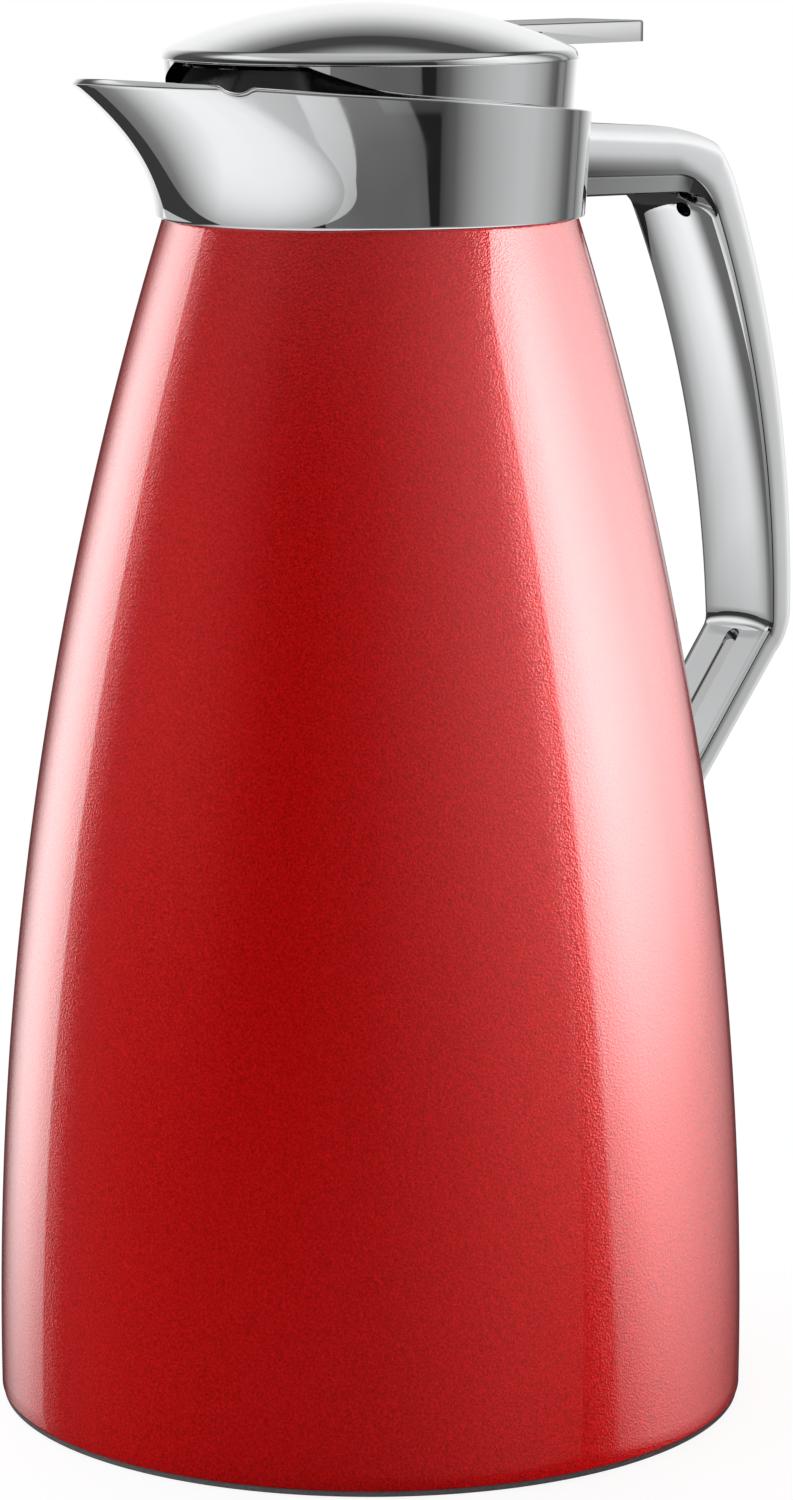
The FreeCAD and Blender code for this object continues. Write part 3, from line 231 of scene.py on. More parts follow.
# Flask: two blown glass bottles fused at the lip, silvered on the faces that look into the vacuum between them.
# It stands on the rubber cushion, and the seal under the throat presses on its lip.
SILVER_SCALE, SILVER_METAL = 60, 0.9
SILVER_LOOKS = {"Base Color": (0.62, 0.82), "Roughness": (0.05, 0.16)}

silvered_glass, nodes, links, shader = finish_of("silvered_glass")
silvering = textured(nodes, links, "ShaderNodeTexNoise", Scale=SILVER_SCALE, Detail=3)
for look, (least, most) in SILVER_LOOKS.items():
    tone = ramped(nodes, links, silvering.outputs["Fac"], (0.3, grey(least)), (0.7, grey(most)))
    links.new(tone, shader.inputs[look])
shader.inputs["Metallic"].default_value = SILVER_METAL
shader.inputs["Coat Weight"].default_value = 1
dressed(silvered_glass, "liner_outer", "liner_inner")

# Collar: a die-cast ring, polished and chromed, that sits on the casing's neck; its wall runs out into the spout.
# A section is a round back and a smaller round nose with flats between, and the nose reaches out with height.
COLLAR_FLARE, COLLAR_WALL, COLLAR_EDGE = 0.06, 1.4, 0.3
SPOUT_HEIGHT, START_SHARE, LIP_CENTRE, LIP_R = 27.6, 0.02, 52.2, 18
STRAIGHT_SHARE, FLARE_POWER = 0.58, 1.97
RIM_Z, RIM_TILT = 251.6, radians(4.8)
MARK_X, MARK_R, MARK_DEPTH = 55, 4, 1.15
COLLAR_STEPS_ROUND, COLLAR_STEPS_UP, RIM_ROUNDS = 640, 44, 12
CHROME_BRIGHT, CHROME_DULL = (0.83, 0.835, 0.845, 1), (0.79, 0.795, 0.805, 1)
DRIFT_SCALE, SMUDGE_SCALE, FILM_START, FILM_END = 35, 55, 0.42, 0.78

smudges = bpy.data.node_groups.new("handling_marks", "ShaderNodeTree")
for socket in ("Scale", "Clean", "Touched"):
    smudges.interface.new_socket(socket, in_out="INPUT", socket_type="NodeSocketFloat")
smudges.interface.new_socket("Roughness", in_out="OUTPUT", socket_type="NodeSocketFloat")
given = smudges.nodes.new("NodeGroupInput")
result = smudges.nodes.new("NodeGroupOutput")
film = textured(smudges.nodes, smudges.links, "ShaderNodeTexNoise", Detail=5, Roughness=0.62)
smudges.links.new(given.outputs["Scale"], film.inputs["Scale"])
spread = smudges.nodes.new("ShaderNodeMapRange")
spread.interpolation_type = "SMOOTHSTEP"
spread.inputs["From Min"].default_value = FILM_START
spread.inputs["From Max"].default_value = FILM_END
smudges.links.new(film.outputs["Fac"], spread.inputs["Value"])
smudges.links.new(given.outputs["Clean"], spread.inputs["To Min"])
smudges.links.new(given.outputs["Touched"], spread.inputs["To Max"])
smudges.links.new(spread.outputs["Result"], result.inputs["Roughness"])


def bright_metal(name, pale, dull, clean, rough):
    """Plated or ground metal: its tone drifts a little over the piece, and handling marks dull its gloss."""
    material, nodes, links, shader = finish_of(name)
    drift = textured(nodes, links, "ShaderNodeTexNoise", Scale=DRIFT_SCALE, Detail=3)
    links.new(ramped(nodes, links, drift.outputs["Fac"], (0.3, dull), (0.7, pale)), shader.inputs["Base Color"])
    marks = nodes.new("ShaderNodeGroup")
    marks.node_tree = smudges
    marks.inputs["Scale"].default_value = SMUDGE_SCALE
    marks.inputs["Clean"].default_value = clean
    marks.inputs["Touched"].default_value = rough
    links.new(marks.outputs["Roughness"], shader.inputs["Roughness"])
    shader.inputs["Metallic"].default_value = 1
    return material


chrome = bright_metal("chrome", CHROME_BRIGHT, CHROME_DULL, clean=0.025, rough=0.07)


def gridded(across, along, place):
    """A bmesh grid of across by along faces, each corner set by place(across share, along share)."""
    bm = bmesh.new()
    bmesh.ops.create_grid(bm, x_segments=across, y_segments=along, size=0.5)
    for vertex in bm.verts:
        vertex.co = place(vertex.co.x + 0.5, vertex.co.y + 0.5)
    return bm


def collar_reach(from_nose, height):
    """How far the collar's outside is from the axis, at an angle from the spout."""
    share = START_SHARE + (1 - START_SHARE) * (height - NECK_Z) / SPOUT_HEIGHT
    back = NECK_R + COLLAR_FLARE * (height - NECK_Z)
    nose_x = LIP_CENTRE * (STRAIGHT_SHARE * share + (1 - STRAIGHT_SHARE) * share ** FLARE_POWER)
    nose_r = NECK_R + (LIP_R - NECK_R) * share
    turn = acos((back - nose_r) / nose_x)
    if from_nose >= turn:
        return back
    if from_nose > atan2(nose_r * sin(turn), nose_x + nose_r * cos(turn)):
        return back / cos(turn - from_nose)
    return nose_x * cos(from_nose) + sqrt(nose_r ** 2 - (nose_x * sin(from_nose)) ** 2)


def rim_height(x):
    return RIM_Z - x * tan(RIM_TILT)


def on_collar(around, up):
    """A place on the collar: it climbs from the neck to the slanted rim, which dips at the mark."""
    angle = 2 * pi * around
    from_nose = abs(angle - pi)
    top = RIM_Z
    for tries in range(RIM_ROUNDS):
        x = collar_reach(from_nose, top) * cos(angle)
        top = rim_height(x)
    beside = abs(x + MARK_X)
    if angle > pi and beside < MARK_R:
        top -= max(0, sqrt(MARK_R ** 2 - beside ** 2) - (MARK_R - MARK_DEPTH))
    height = NECK_Z + (top - NECK_Z) * up
    reach = collar_reach(from_nose, height)
    return Vector((reach * cos(angle), reach * sin(angle), height))


bm = closed(gridded(COLLAR_STEPS_ROUND, COLLAR_STEPS_UP, on_collar))
collar = finished("collar_ring", bm, chrome, "jug", "collar")
walled(collar, COLLAR_WALL, COLLAR_EDGE)

# Throat: the black plastic insert that the lid plugs into, with its deck in the spout and the ring that clamps it.
# Both are moulded; the clamp draws collar and casing together from below.
black_plastic = moulded("black_plastic", grey(0.014), grey(0.026), grain=1500, rough=0.38)
dressed(black_plastic, "collar_insert", "clamp_ring")

# Handle: a chromed die casting with a half-round crown and a shallow inner face, parted by a thin groove.
# A tongue from the collar and one from the casing reach into its ends, and a screw holds it from the inside.
ARM_START, ARM_Z, ARM_DROP = 37.5, 235.2, 1.7
GRIP_X, GRIP_Z, GRIP_R, GRIP_END = 113.6, 133.4, 201, 1.9
UPPER_R, BEND_TURN, LOWER_R, LOWER_LEAN, LOWER_LENGTH = 15, 46, 4, 42.5, 80
STATIONS = ((11.2, 11.2, 3.4, 4.6), (11.1, 9.6, 3.2, 4.2), (11.1, 14.6, 1.2, 0.4), (11.1, 14.4, 0.4, -2.2),
            (9, 11.7, 0.4, -0.8), (8.7, 9.6, 0.4, 0.4), (8.2, 7.6, 0.4, 0.4))
SIDE, SIDE_UP, SHOULDER, SHOULDER_UP, WAIST = 0.955, 0.36, 0.8, 0.66, 0.94
GROOVE_HALF, GROOVE_DEPTH, BELLY_STEP = 0.22, 0.5, 0.05
CROWN_STEPS, GROOVE_STEPS, FLANK_STEPS, BELLY_STEPS = 22, 2, 4, 10
HALF_STEPS, CROWN_SHARE = CROWN_STEPS + GROOVE_STEPS + FLANK_STEPS + BELLY_STEPS, 0.6


def outward_at(angle):
    return Vector((cos(radians(angle)), 0, sin(radians(angle))))


def arc_place(first, middle, last, share):
    """A place on the arc through three places of a section."""
    (ax, ay), (bx, by), (cx, cy) = first, middle, last
    scale = 2 * (ax * (by - cy) + bx * (cy - ay) + cx * (ay - by))
    a, b, c = ax * ax + ay * ay, bx * bx + by * by, cx * cx + cy * cy
    ux = (a * (by - cy) + b * (cy - ay) + c * (ay - by)) / scale
    uy = (a * (cx - bx) + b * (ax - cx) + c * (bx - ax)) / scale
    start, end = atan2(ay - uy, ax - ux), atan2(cy - uy, cx - ux)
    sweep = (end - start + pi) % (2 * pi) - pi
    radius = hypot(ax - ux, ay - uy)
    return ux + radius * cos(start + sweep * share), uy + radius * sin(start + sweep * share)


def section_place(step, sizes):
    """Across and up of the section's outline, from the crown's top (0) to the middle of the inner face."""
    half, crown, flank, belly = sizes
    if step <= CROWN_STEPS:
        top, shoulder = (0, crown), (half * SHOULDER, crown * SHOULDER_UP)
        side, edge = (half * SIDE, crown * SIDE_UP), (half, GROOVE_HALF)
        change = CROWN_STEPS * CROWN_SHARE
        if step <= change:
            return arc_place((-shoulder[0], shoulder[1]), top, shoulder, 0.5 + 0.5 * step / change)
        return arc_place(shoulder, side, edge, (step - change) / (CROWN_STEPS - change))
    step -= CROWN_STEPS
    if step < GROOVE_STEPS:
        return half - GROOVE_DEPTH, 0
    step -= GROOVE_STEPS
    if step <= FLANK_STEPS:
        share = step / FLANK_STEPS
        return half * (1 + (WAIST - 1) * share), -GROOVE_HALF + (GROOVE_HALF - flank - BELLY_STEP) * share
    share = 1 - 0.5 * (step - FLANK_STEPS) / BELLY_STEPS
    waist = half * WAIST
    return waist * (2 * share - 1), -flank - (belly - flank) * 4 * share * (1 - share)


def sizes_between(station, share):
    low, high = STATIONS[station], STATIONS[station + 1]
    return [a + (b - a) * share for a, b in zip(low, high)]


arm_way, arm_up = outward_at(-ARM_DROP), outward_at(90 - ARM_DROP)
arm_start = Vector((ARM_START, 0, ARM_Z))
grip_centre = Vector((GRIP_X - GRIP_R, 0, GRIP_Z))
to_arm = arm_start - arm_up * UPPER_R - grip_centre
reach = to_arm.dot(arm_way)
arm_length = sqrt(reach ** 2 - to_arm.length_squared + (GRIP_R - UPPER_R) ** 2) - reach
bend_centre = arm_start - arm_up * UPPER_R + arm_way * arm_length
grip_turn = degrees(asin((bend_centre - grip_centre).normalized().z))
low_centre = grip_centre + outward_at(GRIP_END) * (GRIP_R - LOWER_R)
tail_up, tail_way = outward_at(-LOWER_LEAN), outward_at(90 - LOWER_LEAN) * -1
tail_start = low_centre + tail_up * LOWER_R
BENDS = ((bend_centre, UPPER_R, 90 - ARM_DROP, BEND_TURN, 2), (bend_centre, UPPER_R, BEND_TURN, grip_turn, 1),
         (grip_centre, GRIP_R, grip_turn, GRIP_END, 1), (low_centre, LOWER_R, GRIP_END, -LOWER_LEAN, 1))
RUN_STEPS = (24, 14, 8, 60, 12, 36)
ARM_FLOOR, TRIM_STEP = NECK_Z - 20, 0.2


def handle_section(step):
    """The place, the crown's direction and the sizes of the handle at a step along it."""
    for run, steps in enumerate(RUN_STEPS):
        if step <= steps:
            break
        step -= steps
    share = step / RUN_STEPS[run]
    if run == 0:
        return arm_start + arm_way * arm_length * share, arm_up, sizes_between(0, share)
    if run > len(BENDS):
        return tail_start + tail_way * LOWER_LENGTH * share, tail_up, sizes_between(run, share)
    centre, radius, first, last, power = BENDS[run - 1]
    up = outward_at(first + (last - first) * share)
    return centre + up * radius, up, sizes_between(run, share ** power)


def on_handle(around, along):
    """A place on the handle: outside the collar at its start, and outside the casing at its end."""
    place, up, sizes = handle_section(along * sum(RUN_STEPS))
    turn = around * 2 * HALF_STEPS - HALF_STEPS
    across, height = section_place(round(abs(turn)), sizes)
    spot = place + up * height + Vector((0, across if turn > 0 else -across, 0))
    collar_r = NECK_R + COLLAR_FLARE * (spot.z - NECK_Z) + SEAT_GAP
    if spot.z > ARM_FLOOR and hypot(spot.x, spot.y) < collar_r:
        spot.x = sqrt(collar_r ** 2 - spot.y ** 2)
    while spot.z < ARM_FLOOR and hypot(spot.x, spot.y) < casing_radius(spot.z) + SEAT_GAP:
        spot -= tail_way * TRIM_STEP
    return spot


SCREW_TURN, SCREW_OUT, SCREW_ROOM_R, SCREW_ROOM_LENGTH, SCREW_SINK, SCREW_HEAD = 27.1, 2.2, 1.8, 14, 0.6, 1.6
SLOT_WIDTH, SLOT_LENGTH, SLOT_DEPTH, SLOT_IN = 3.2, 40, 1.8, 0.4


def pushed(bm, face, way):
    """Extrudes a lone face into a block, and gives the new vertices."""
    made = bmesh.ops.extrude_face_region(bm, geom=[face])["geom"]
    far = [part for part in made if isinstance(part, bmesh.types.BMVert)]
    bmesh.ops.translate(bm, vec=way, verts=far)
    return far


def cut_out(bm, cutter):
    """Takes the cutter's room out of a closed bmesh."""
    pair = []
    for form in (bm, cutter):
        mesh = bpy.data.meshes.new("rough")
        closed(form).to_mesh(mesh)
        pair.append(bpy.data.objects.new("rough", mesh))
        bpy.context.scene.collection.objects.link(pair[-1])
    cut = pair[0].modifiers.new("cut", "BOOLEAN")
    cut.operation = "DIFFERENCE"
    cut.object = pair[1]
    held = pair[0].evaluated_get(bpy.context.evaluated_depsgraph_get())
    left = bpy.data.meshes.new_from_object(held)
    bm.clear()
    bm.from_mesh(left)
    cutter.free()
    for rough in pair:
        bpy.data.objects.remove(rough)


bm = gridded(2 * HALF_STEPS, sum(RUN_STEPS), on_handle)
bmesh.ops.remove_doubles(bm, verts=bm.verts, dist=JOIN)
bmesh.ops.holes_fill(bm, edges=[edge for edge in bm.edges if edge.is_boundary])
screw_way = outward_at(SCREW_TURN)
screw_face = grip_centre + screw_way * (GRIP_R + SCREW_OUT)
cutter = bmesh.new()
bmesh.ops.create_cone(cutter, cap_ends=True, segments=40, radius1=SCREW_ROOM_R, radius2=SCREW_ROOM_R,
                      depth=SCREW_ROOM_LENGTH, matrix=Matrix.Translation(
                          screw_face + screw_way * (SCREW_SINK + SCREW_HEAD - SCREW_ROOM_LENGTH / 2))
                      @ screw_way.to_track_quat("Z", "Y").to_matrix().to_4x4())
slot_face = tail_start - tail_up * SLOT_IN
slot_end = bmesh.ops.create_circle(cutter, segments=32, radius=SLOT_WIDTH / 2, cap_ends=True)["verts"]
for vertex in slot_end:
    if vertex.co.x > LEVEL:
        vertex.co.x += SLOT_LENGTH - SLOT_WIDTH
slot_room = slot_end + pushed(cutter, slot_end[0].link_faces[0], (0, 0, 2 * SLOT_DEPTH))
slot_turn = Matrix((tail_way, tail_up.cross(tail_way), tail_up)).transposed().to_4x4()
bmesh.ops.transform(cutter, verts=slot_room, matrix=Matrix.Translation(
    slot_face + tail_way * SLOT_WIDTH / 2 - tail_up * SLOT_DEPTH) @ slot_turn)
cut_out(bm, cutter)
handle = finished("handle_grip", bm, chrome, "jug", "handle")

screw_black = bright_metal("screw_black", grey(0.05), grey(0.025), clean=0.25, rough=0.45)
strip_steel = bright_metal("strip_steel", grey(0.78), grey(0.7), clean=0.12, rough=0.25)
dressed(screw_black, "handle_screw")
dressed(strip_steel, "handle_strip", "handle_lug", "lower_bracket")

# Lid: a chromed dome with a skirt that is open towards the spout, over a black plug with its gasket and valve seat.
# The bridge under the dome is glossy black and is screwed to the plug; it guides the stem and carries the lever.
TOP_Z, DOME_R, DOME_EDGE_R, DOME_EDGE_Z, DOME_ROUND, DOME_WALL = 269.5, 92.5, 39.35, 259, 2.2, 1.5
SKIRT_STEP, SKIRT_LOW_R, SKIRT_WALL, SKIRT_BOTTOM = 0.35, 37.9, 1.5, 244
CUT_TOP_HALF, CUT_LOW_HALF, CUT_LOW_Z = 17, 32, 253
SLOT_X, SLOT_HALF, SLOT_REACH, LEVER_FLOOR, LEVER_ROOM = 25.5, 10.5, 50, 256, 20
CUT_REACH, CUT_SPARE, CUT_UNDER, BEAD_EDGE, ROUND_SHARE, ON_RING = 60, 1, 0.05, 0.25, 0.62, 0.02
DOME_STEPS, LID_STEPS = 24, 288

bm = bmesh.new()
dome_centre, dome_turn = (0, 0, TOP_Z - DOME_R), asin(DOME_EDGE_R / DOME_R)
top = bm.verts.new((0, 0, TOP_Z))
bmesh.ops.spin(bm, geom=[top], cent=dome_centre, axis=(0, 1, 0), angle=dome_turn, steps=DOME_STEPS)
edge = max(bm.verts, key=lambda vertex: vertex.co.x)
step_r, inner_r, inner_dome_r = DOME_EDGE_R - SKIRT_STEP, SKIRT_LOW_R - SKIRT_WALL, DOME_R - DOME_WALL
inside_edge = drawn_on(bm, edge, (DOME_EDGE_R, DOME_EDGE_Z), (step_r, DOME_EDGE_Z), (SKIRT_LOW_R, SKIRT_BOTTOM),
                       (inner_r, SKIRT_BOTTOM), (inner_r, TOP_Z - DOME_R + sqrt(inner_dome_r ** 2 - inner_r ** 2)))
inside_turn = asin(inner_r / inner_dome_r)
bmesh.ops.spin(bm, geom=[inside_edge], cent=dome_centre, axis=(0, -1, 0), angle=inside_turn, steps=DOME_STEPS)
turned(bm, LID_STEPS)
bmesh.ops.remove_doubles(bm, verts=bm.verts, dist=JOIN)


def ring_edges(bm, radius, height):
    """The edges of a turned form's circle of a given radius and height."""
    return [edge for edge in bm.edges if all(abs(hypot(*vertex.co.xy) - radius) < ON_RING
            and abs(vertex.co.z - height) < ON_RING for vertex in edge.verts)]


bmesh.ops.bevel(bm, geom=ring_edges(bm, DOME_EDGE_R, TOP_Z - DOME_R + sqrt(DOME_R ** 2 - DOME_EDGE_R ** 2)),
                offset=DOME_ROUND * ROUND_SHARE, segments=8, profile=0.5, affect="EDGES", material=-1)
bmesh.ops.bevel(bm, geom=ring_edges(bm, DOME_EDGE_R, DOME_EDGE_Z), offset=BEAD_EDGE, segments=3, profile=0.5,
                affect="EDGES", material=-1)
cutter = bmesh.new()
mouth = [cutter.verts.new((-CUT_REACH, y, z)) for y, z in (
    (-CUT_LOW_HALF, SKIRT_BOTTOM - CUT_SPARE), (CUT_LOW_HALF, SKIRT_BOTTOM - CUT_SPARE), (CUT_LOW_HALF, CUT_LOW_Z),
    (CUT_TOP_HALF, DOME_EDGE_Z - CUT_UNDER), (-CUT_TOP_HALF, DOME_EDGE_Z - CUT_UNDER), (-CUT_LOW_HALF, CUT_LOW_Z))]
pushed(cutter, cutter.faces.new(mouth), (CUT_REACH, 0, 0))
bmesh.ops.create_cube(cutter, size=1, matrix=Matrix.Translation((
    SLOT_X + SLOT_REACH / 2, 0, LEVER_FLOOR + LEVER_ROOM / 2))
    @ Matrix.Diagonal((SLOT_REACH, 2 * SLOT_HALF, LEVER_ROOM, 1)))
cut_out(bm, cutter)
dome = finished("lid_dome", bm, chrome, "lid", "lid_cap")

black_gloss = moulded("black_gloss", grey(0.006), grey(0.012), grain=1300, rough=0.12)
grey_silicone = moulded("grey_silicone", (0.3, 0.3, 0.31, 1), (0.4, 0.4, 0.41, 1), grain=1200, rough=0.5)
dressed(black_gloss, "lid_bridge")
dressed(black_plastic, "lid_housing")
dressed(grey_silicone, "lid_gasket")
dressed(strip_steel, "lid_screws", "pivot_pin")

# Lever: a chromed channel that the thumb presses, with a black rocker inside that turns on the pin and lifts
# the stem. It lies in the slot behind the dome, with its flat top just under the dome's crown.
LEVER_START, LEVER_TIP, LEVER_HALF, LEVER_TOP, LEVER_HEIGHT = 25.85, 70, 10, 264.8, 4.1
LEVER_WALL, LEVER_CORNER, LEVER_EDGE, SKIRT_START, SKIRT_SLANT = 1.5, 3, 0.45, 40, 2.5
SLANT_HALF, SLANT_BACK, CORNER_REACH, TOP_REACH = 20, 5, 1, 0.1

bm = bmesh.new()
bmesh.ops.create_cube(bm, size=1, matrix=Matrix.Translation((
    (LEVER_START + LEVER_TIP) / 2, 0, LEVER_TOP - LEVER_HEIGHT / 2))
    @ Matrix.Diagonal((LEVER_TIP - LEVER_START, 2 * LEVER_HALF, LEVER_HEIGHT, 1)))
corners = [edge for edge in bm.edges if all(vertex.co.x > LEVER_TIP - CORNER_REACH for vertex in edge.verts)
           and abs(edge.verts[0].co.z - edge.verts[1].co.z) > CORNER_REACH]
bmesh.ops.bevel(bm, geom=corners, offset=LEVER_CORNER, segments=10, profile=0.5, affect="EDGES", material=-1)
under = min(bm.faces, key=lambda face: face.calc_center_median().z)
bmesh.ops.inset_region(bm, faces=[under], thickness=LEVER_WALL)
bmesh.ops.translate(bm, vec=(0, 0, LEVER_HEIGHT - LEVER_WALL), verts=under.verts)
edges = [edge for edge in bm.edges if edge.calc_face_angle(0) > EDGE_TURN
         and all(vertex.co.z > LEVER_TOP - TOP_REACH for vertex in edge.verts)]
bmesh.ops.bevel(bm, geom=edges, offset=LEVER_EDGE, segments=4, profile=0.5, affect="EDGES", material=-1)
cutter = bmesh.new()
lever_under, slant_start = LEVER_TOP - LEVER_HEIGHT, LEVER_START - SLANT_BACK
slant = [cutter.verts.new((x, -SLANT_HALF, z)) for x, z in (
    (slant_start, lever_under - CUT_SPARE), (SKIRT_START, lever_under - CUT_SPARE), (SKIRT_START, lever_under),
    (SKIRT_START - SKIRT_SLANT, LEVER_TOP - LEVER_WALL), (slant_start, LEVER_TOP - LEVER_WALL))]
pushed(cutter, cutter.faces.new(slant), (0, 2 * SLANT_HALF, 0))
cut_out(bm, cutter)
lever = finished("lever_channel", bm, chrome, "lever", "thumb_lever")
dressed(black_plastic, "lever_rocker")

# Valve: a black disc with a silicone seal on the plug's floor, on a steel stem with a nut and a return spring.
# The rocker's fork lifts the nut, and the spring under the bridge closes the disc again.
# The coil is a smooth-shaded copy of the CAD wire.
SPRING_JOIN = 1e-6

dressed(grey_silicone, "valve_seal")
dressed(black_plastic, "valve_plug")
dressed(strip_steel, "valve_stem", "stem_nut")

spring, (spring_low, spring_high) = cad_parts["valve_spring"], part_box("valve_spring")
bm = bmesh.new()
bm.from_mesh(spring.data)
bm.transform(spring.matrix_world)
bmesh.ops.remove_doubles(bm, verts=bm.verts, dist=SPRING_JOIN)
mesh = bpy.data.meshes.new("valve_coil")
bm.to_mesh(mesh)
bm.free()
mesh.shade_smooth()
mesh.materials.append(strip_steel)
coil = bpy.data.objects.new("valve_coil", mesh)
bpy.context.scene.collection.objects.link(coil)
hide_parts("valve_spring")
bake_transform(coil)

# Camera: a long lens at the photograph's viewing angle, a little above the rim and tilted down.
# Its frame is the photograph's, in which the jug's axis lies left of the middle.
CAMERA_TURN, CAMERA_REACH, CAMERA_HEIGHT, CAMERA_PITCH = radians(47), 0.9316, 0.2956, radians(10.29)
SENSOR, FOCAL_PIXELS, LONG_SIDE, AXIS_SHIFT, NEAREST = 36, 4895, 1500, 26, 0.01

camera = bpy.data.objects.new("camera", bpy.data.cameras.new("camera"))
camera.data.sensor_fit = "AUTO"
camera.data.sensor_width = SENSOR
camera.data.lens = SENSOR * FOCAL_PIXELS / LONG_SIDE
camera.data.shift_x = AXIS_SHIFT / LONG_SIDE
camera.data.clip_start = NEAREST
camera.location = (-sin(CAMERA_TURN) * CAMERA_REACH, -cos(CAMERA_TURN) * CAMERA_REACH, CAMERA_HEIGHT)
camera.rotation_euler = (pi / 2 - CAMERA_PITCH, 0, -CAMERA_TURN)
bpy.context.scene.collection.objects.link(camera)
bpy.context.scene.camera = camera

# Room: what chrome and lacquer see between the lamps. It is nearly black low down, a little paler at the back,
# bright high up on the camera's left and pale overhead. The camera itself sees plain white behind the jug.
# Each level's stops are angles from the camera's side, with the brightness there; each layer's are heights.
LOW_ROOM = ((-180, 0.04), (-120, 0.05), (-70, 0.02), (20, 0.015), (60, 0.02), (120, 0.05), (180, 0.04))
BACK_ROOM = ((-180, 0.1), (-150, 0.1), (-120, 0.08), (-95, 0.05), (0, 0.015), (60, 0.05), (120, 0.08), (150, 0.1),
             (180, 0.1))
HIGH_ROOM = ((-180, 0.06), (-150, 0.07), (-122, 0.2), (-106, 1), (-85, 1), (-40, 0.5), (0, 0.3), (60, 0.1),
             (150, 0.08), (180, 0.06))
TOP_ROOM = ((-180, 0.6), (0, 0.5), (180, 0.6))
LAYERS = ((BACK_ROOM, -0.01, 0.06), (HIGH_ROOM, 0.35, 0.65), (TOP_ROOM, 0.7, 0.82))

room = bpy.data.worlds.new("room")
bpy.context.scene.world = room
room.use_nodes = True
nodes, links = room.node_tree.nodes, room.node_tree.links
turned_view = nodes.new("ShaderNodeMapping")
turned_view.vector_type = "POINT"
turned_view.inputs["Rotation"].default_value = (0, 0, CAMERA_TURN + pi / 2)
links.new(nodes.new("ShaderNodeTexCoord").outputs["Generated"], turned_view.inputs["Vector"])
parts = nodes.new("ShaderNodeSeparateXYZ")
links.new(turned_view.outputs["Vector"], parts.inputs["Vector"])
azimuth = nodes.new("ShaderNodeMath")
azimuth.operation = "ARCTAN2"
links.new(parts.outputs["Y"], azimuth.inputs[0])
links.new(parts.outputs["X"], azimuth.inputs[1])


def risen(source, low, high, interpolation="LINEAR"):
    """How far a value is on its way from low to high, from 0 to 1."""
    rise = nodes.new("ShaderNodeMapRange")
    rise.interpolation_type = interpolation
    rise.inputs["From Min"].default_value = low
    rise.inputs["From Max"].default_value = high
    links.new(source, rise.inputs["Value"])
    return rise.outputs["Result"]


def mixed_colour(factor, first, second):
    mix = nodes.new("ShaderNodeMix")
    mix.data_type = "RGBA"
    links.new(factor, mix.inputs["Factor"])
    links.new(first, mix.inputs["A"])
    if isinstance(second, tuple):
        mix.inputs["B"].default_value = second
    else:
        links.new(second, mix.inputs["B"])
    return mix.outputs["Result"]


def level_of(stops):
    """One level of the room, by the angle from the camera's side."""
    return ramped(nodes, links, around, *[(0.5 + angle / 360, grey(level)) for angle, level in stops])


around = risen(azimuth.outputs["Value"], -pi, pi)
room_light = level_of(LOW_ROOM)
for stops, low, high in LAYERS:
    room_light = mixed_colour(risen(parts.outputs["Z"], low, high, "SMOOTHSTEP"), room_light, level_of(stops))
seen = mixed_colour(nodes.new("ShaderNodeLightPath").outputs["Is Camera Ray"], room_light, grey(1))
links.new(seen, nodes["Background"].inputs["Color"])

# Floor: a white disc under the jug that takes its soft shadow.
# The camera sees mostly its own glow, so that it runs out into the white behind it.
FLOOR_R, FLOOR_STEPS, FLOOR_LEVEL, FLOOR_ROUGHNESS, GLOW, GLOW_SHARE = 0.5, 96, 0.9, 0.9, 1.07, 0.85

floor_white, nodes, links, shader = finish_of("floor_white")
shader.inputs["Base Color"].default_value = grey(FLOOR_LEVEL)
shader.inputs["Roughness"].default_value = FLOOR_ROUGHNESS
glow = nodes.new("ShaderNodeEmission")
glow.inputs["Color"].default_value = grey(1)
glow.inputs["Strength"].default_value = GLOW
share = nodes.new("ShaderNodeMath")
share.operation = "MULTIPLY"
share.inputs[1].default_value = GLOW_SHARE
links.new(nodes.new("ShaderNodeLightPath").outputs["Is Camera Ray"], share.inputs[0])
glowing = nodes.new("ShaderNodeMixShader")
links.new(share.outputs["Value"], glowing.inputs["Fac"])
links.new(shader.outputs["BSDF"], glowing.inputs[1])
links.new(glow.outputs["Emission"], glowing.inputs[2])
links.new(glowing.outputs["Shader"], nodes["Material Output"].inputs["Surface"])
bm = bmesh.new()
bmesh.ops.create_circle(bm, cap_ends=True, segments=FLOOR_STEPS, radius=FLOOR_R)
mesh = bpy.data.meshes.new("floor")
bm.to_mesh(mesh)
bm.free()
mesh.materials.append(floor_white)
floor = bpy.data.objects.new("floor", mesh)
bpy.context.scene.collection.objects.link(floor)
floor.visible_glossy = False

# Lacquer's lamps: a tall soft box on each side draws the casing's two streaks, and a weaker one beside each fades
# them towards the middle. Two fills that show in no reflection light the pigment. All of them light the casing alone.
# Stops across a lamp are angles from the camera's side with the brightness there, and stops upright are heights.
LEFT_FADE = ((-0.35, 0.1), (-0.27, 0.18), (-0.2, 0.35), (-0.1, 0.61), (0, 0.75), (0.1, 0.86), (0.25, 1), (0.65, 1))
RIGHT_FADE = ((-0.35, 0.05), (-0.275, 0.085), (-0.19, 0.175), (-0.065, 0.34), (0.06, 0.73), (0.18, 0.94), (0.38, 1),
              (0.65, 1))
GLOW_FADE = ((-0.4, 0.2), (-0.31, 0.26), (-0.2, 0.34), (-0.05, 0.47), (0.1, 0.66), (0.26, 0.87), (0.5, 1), (0.8, 1))


def group_of(name, *pieces):
    group = bpy.data.collections.new(name)
    for piece in pieces:
        group.objects.link(piece)
    return group


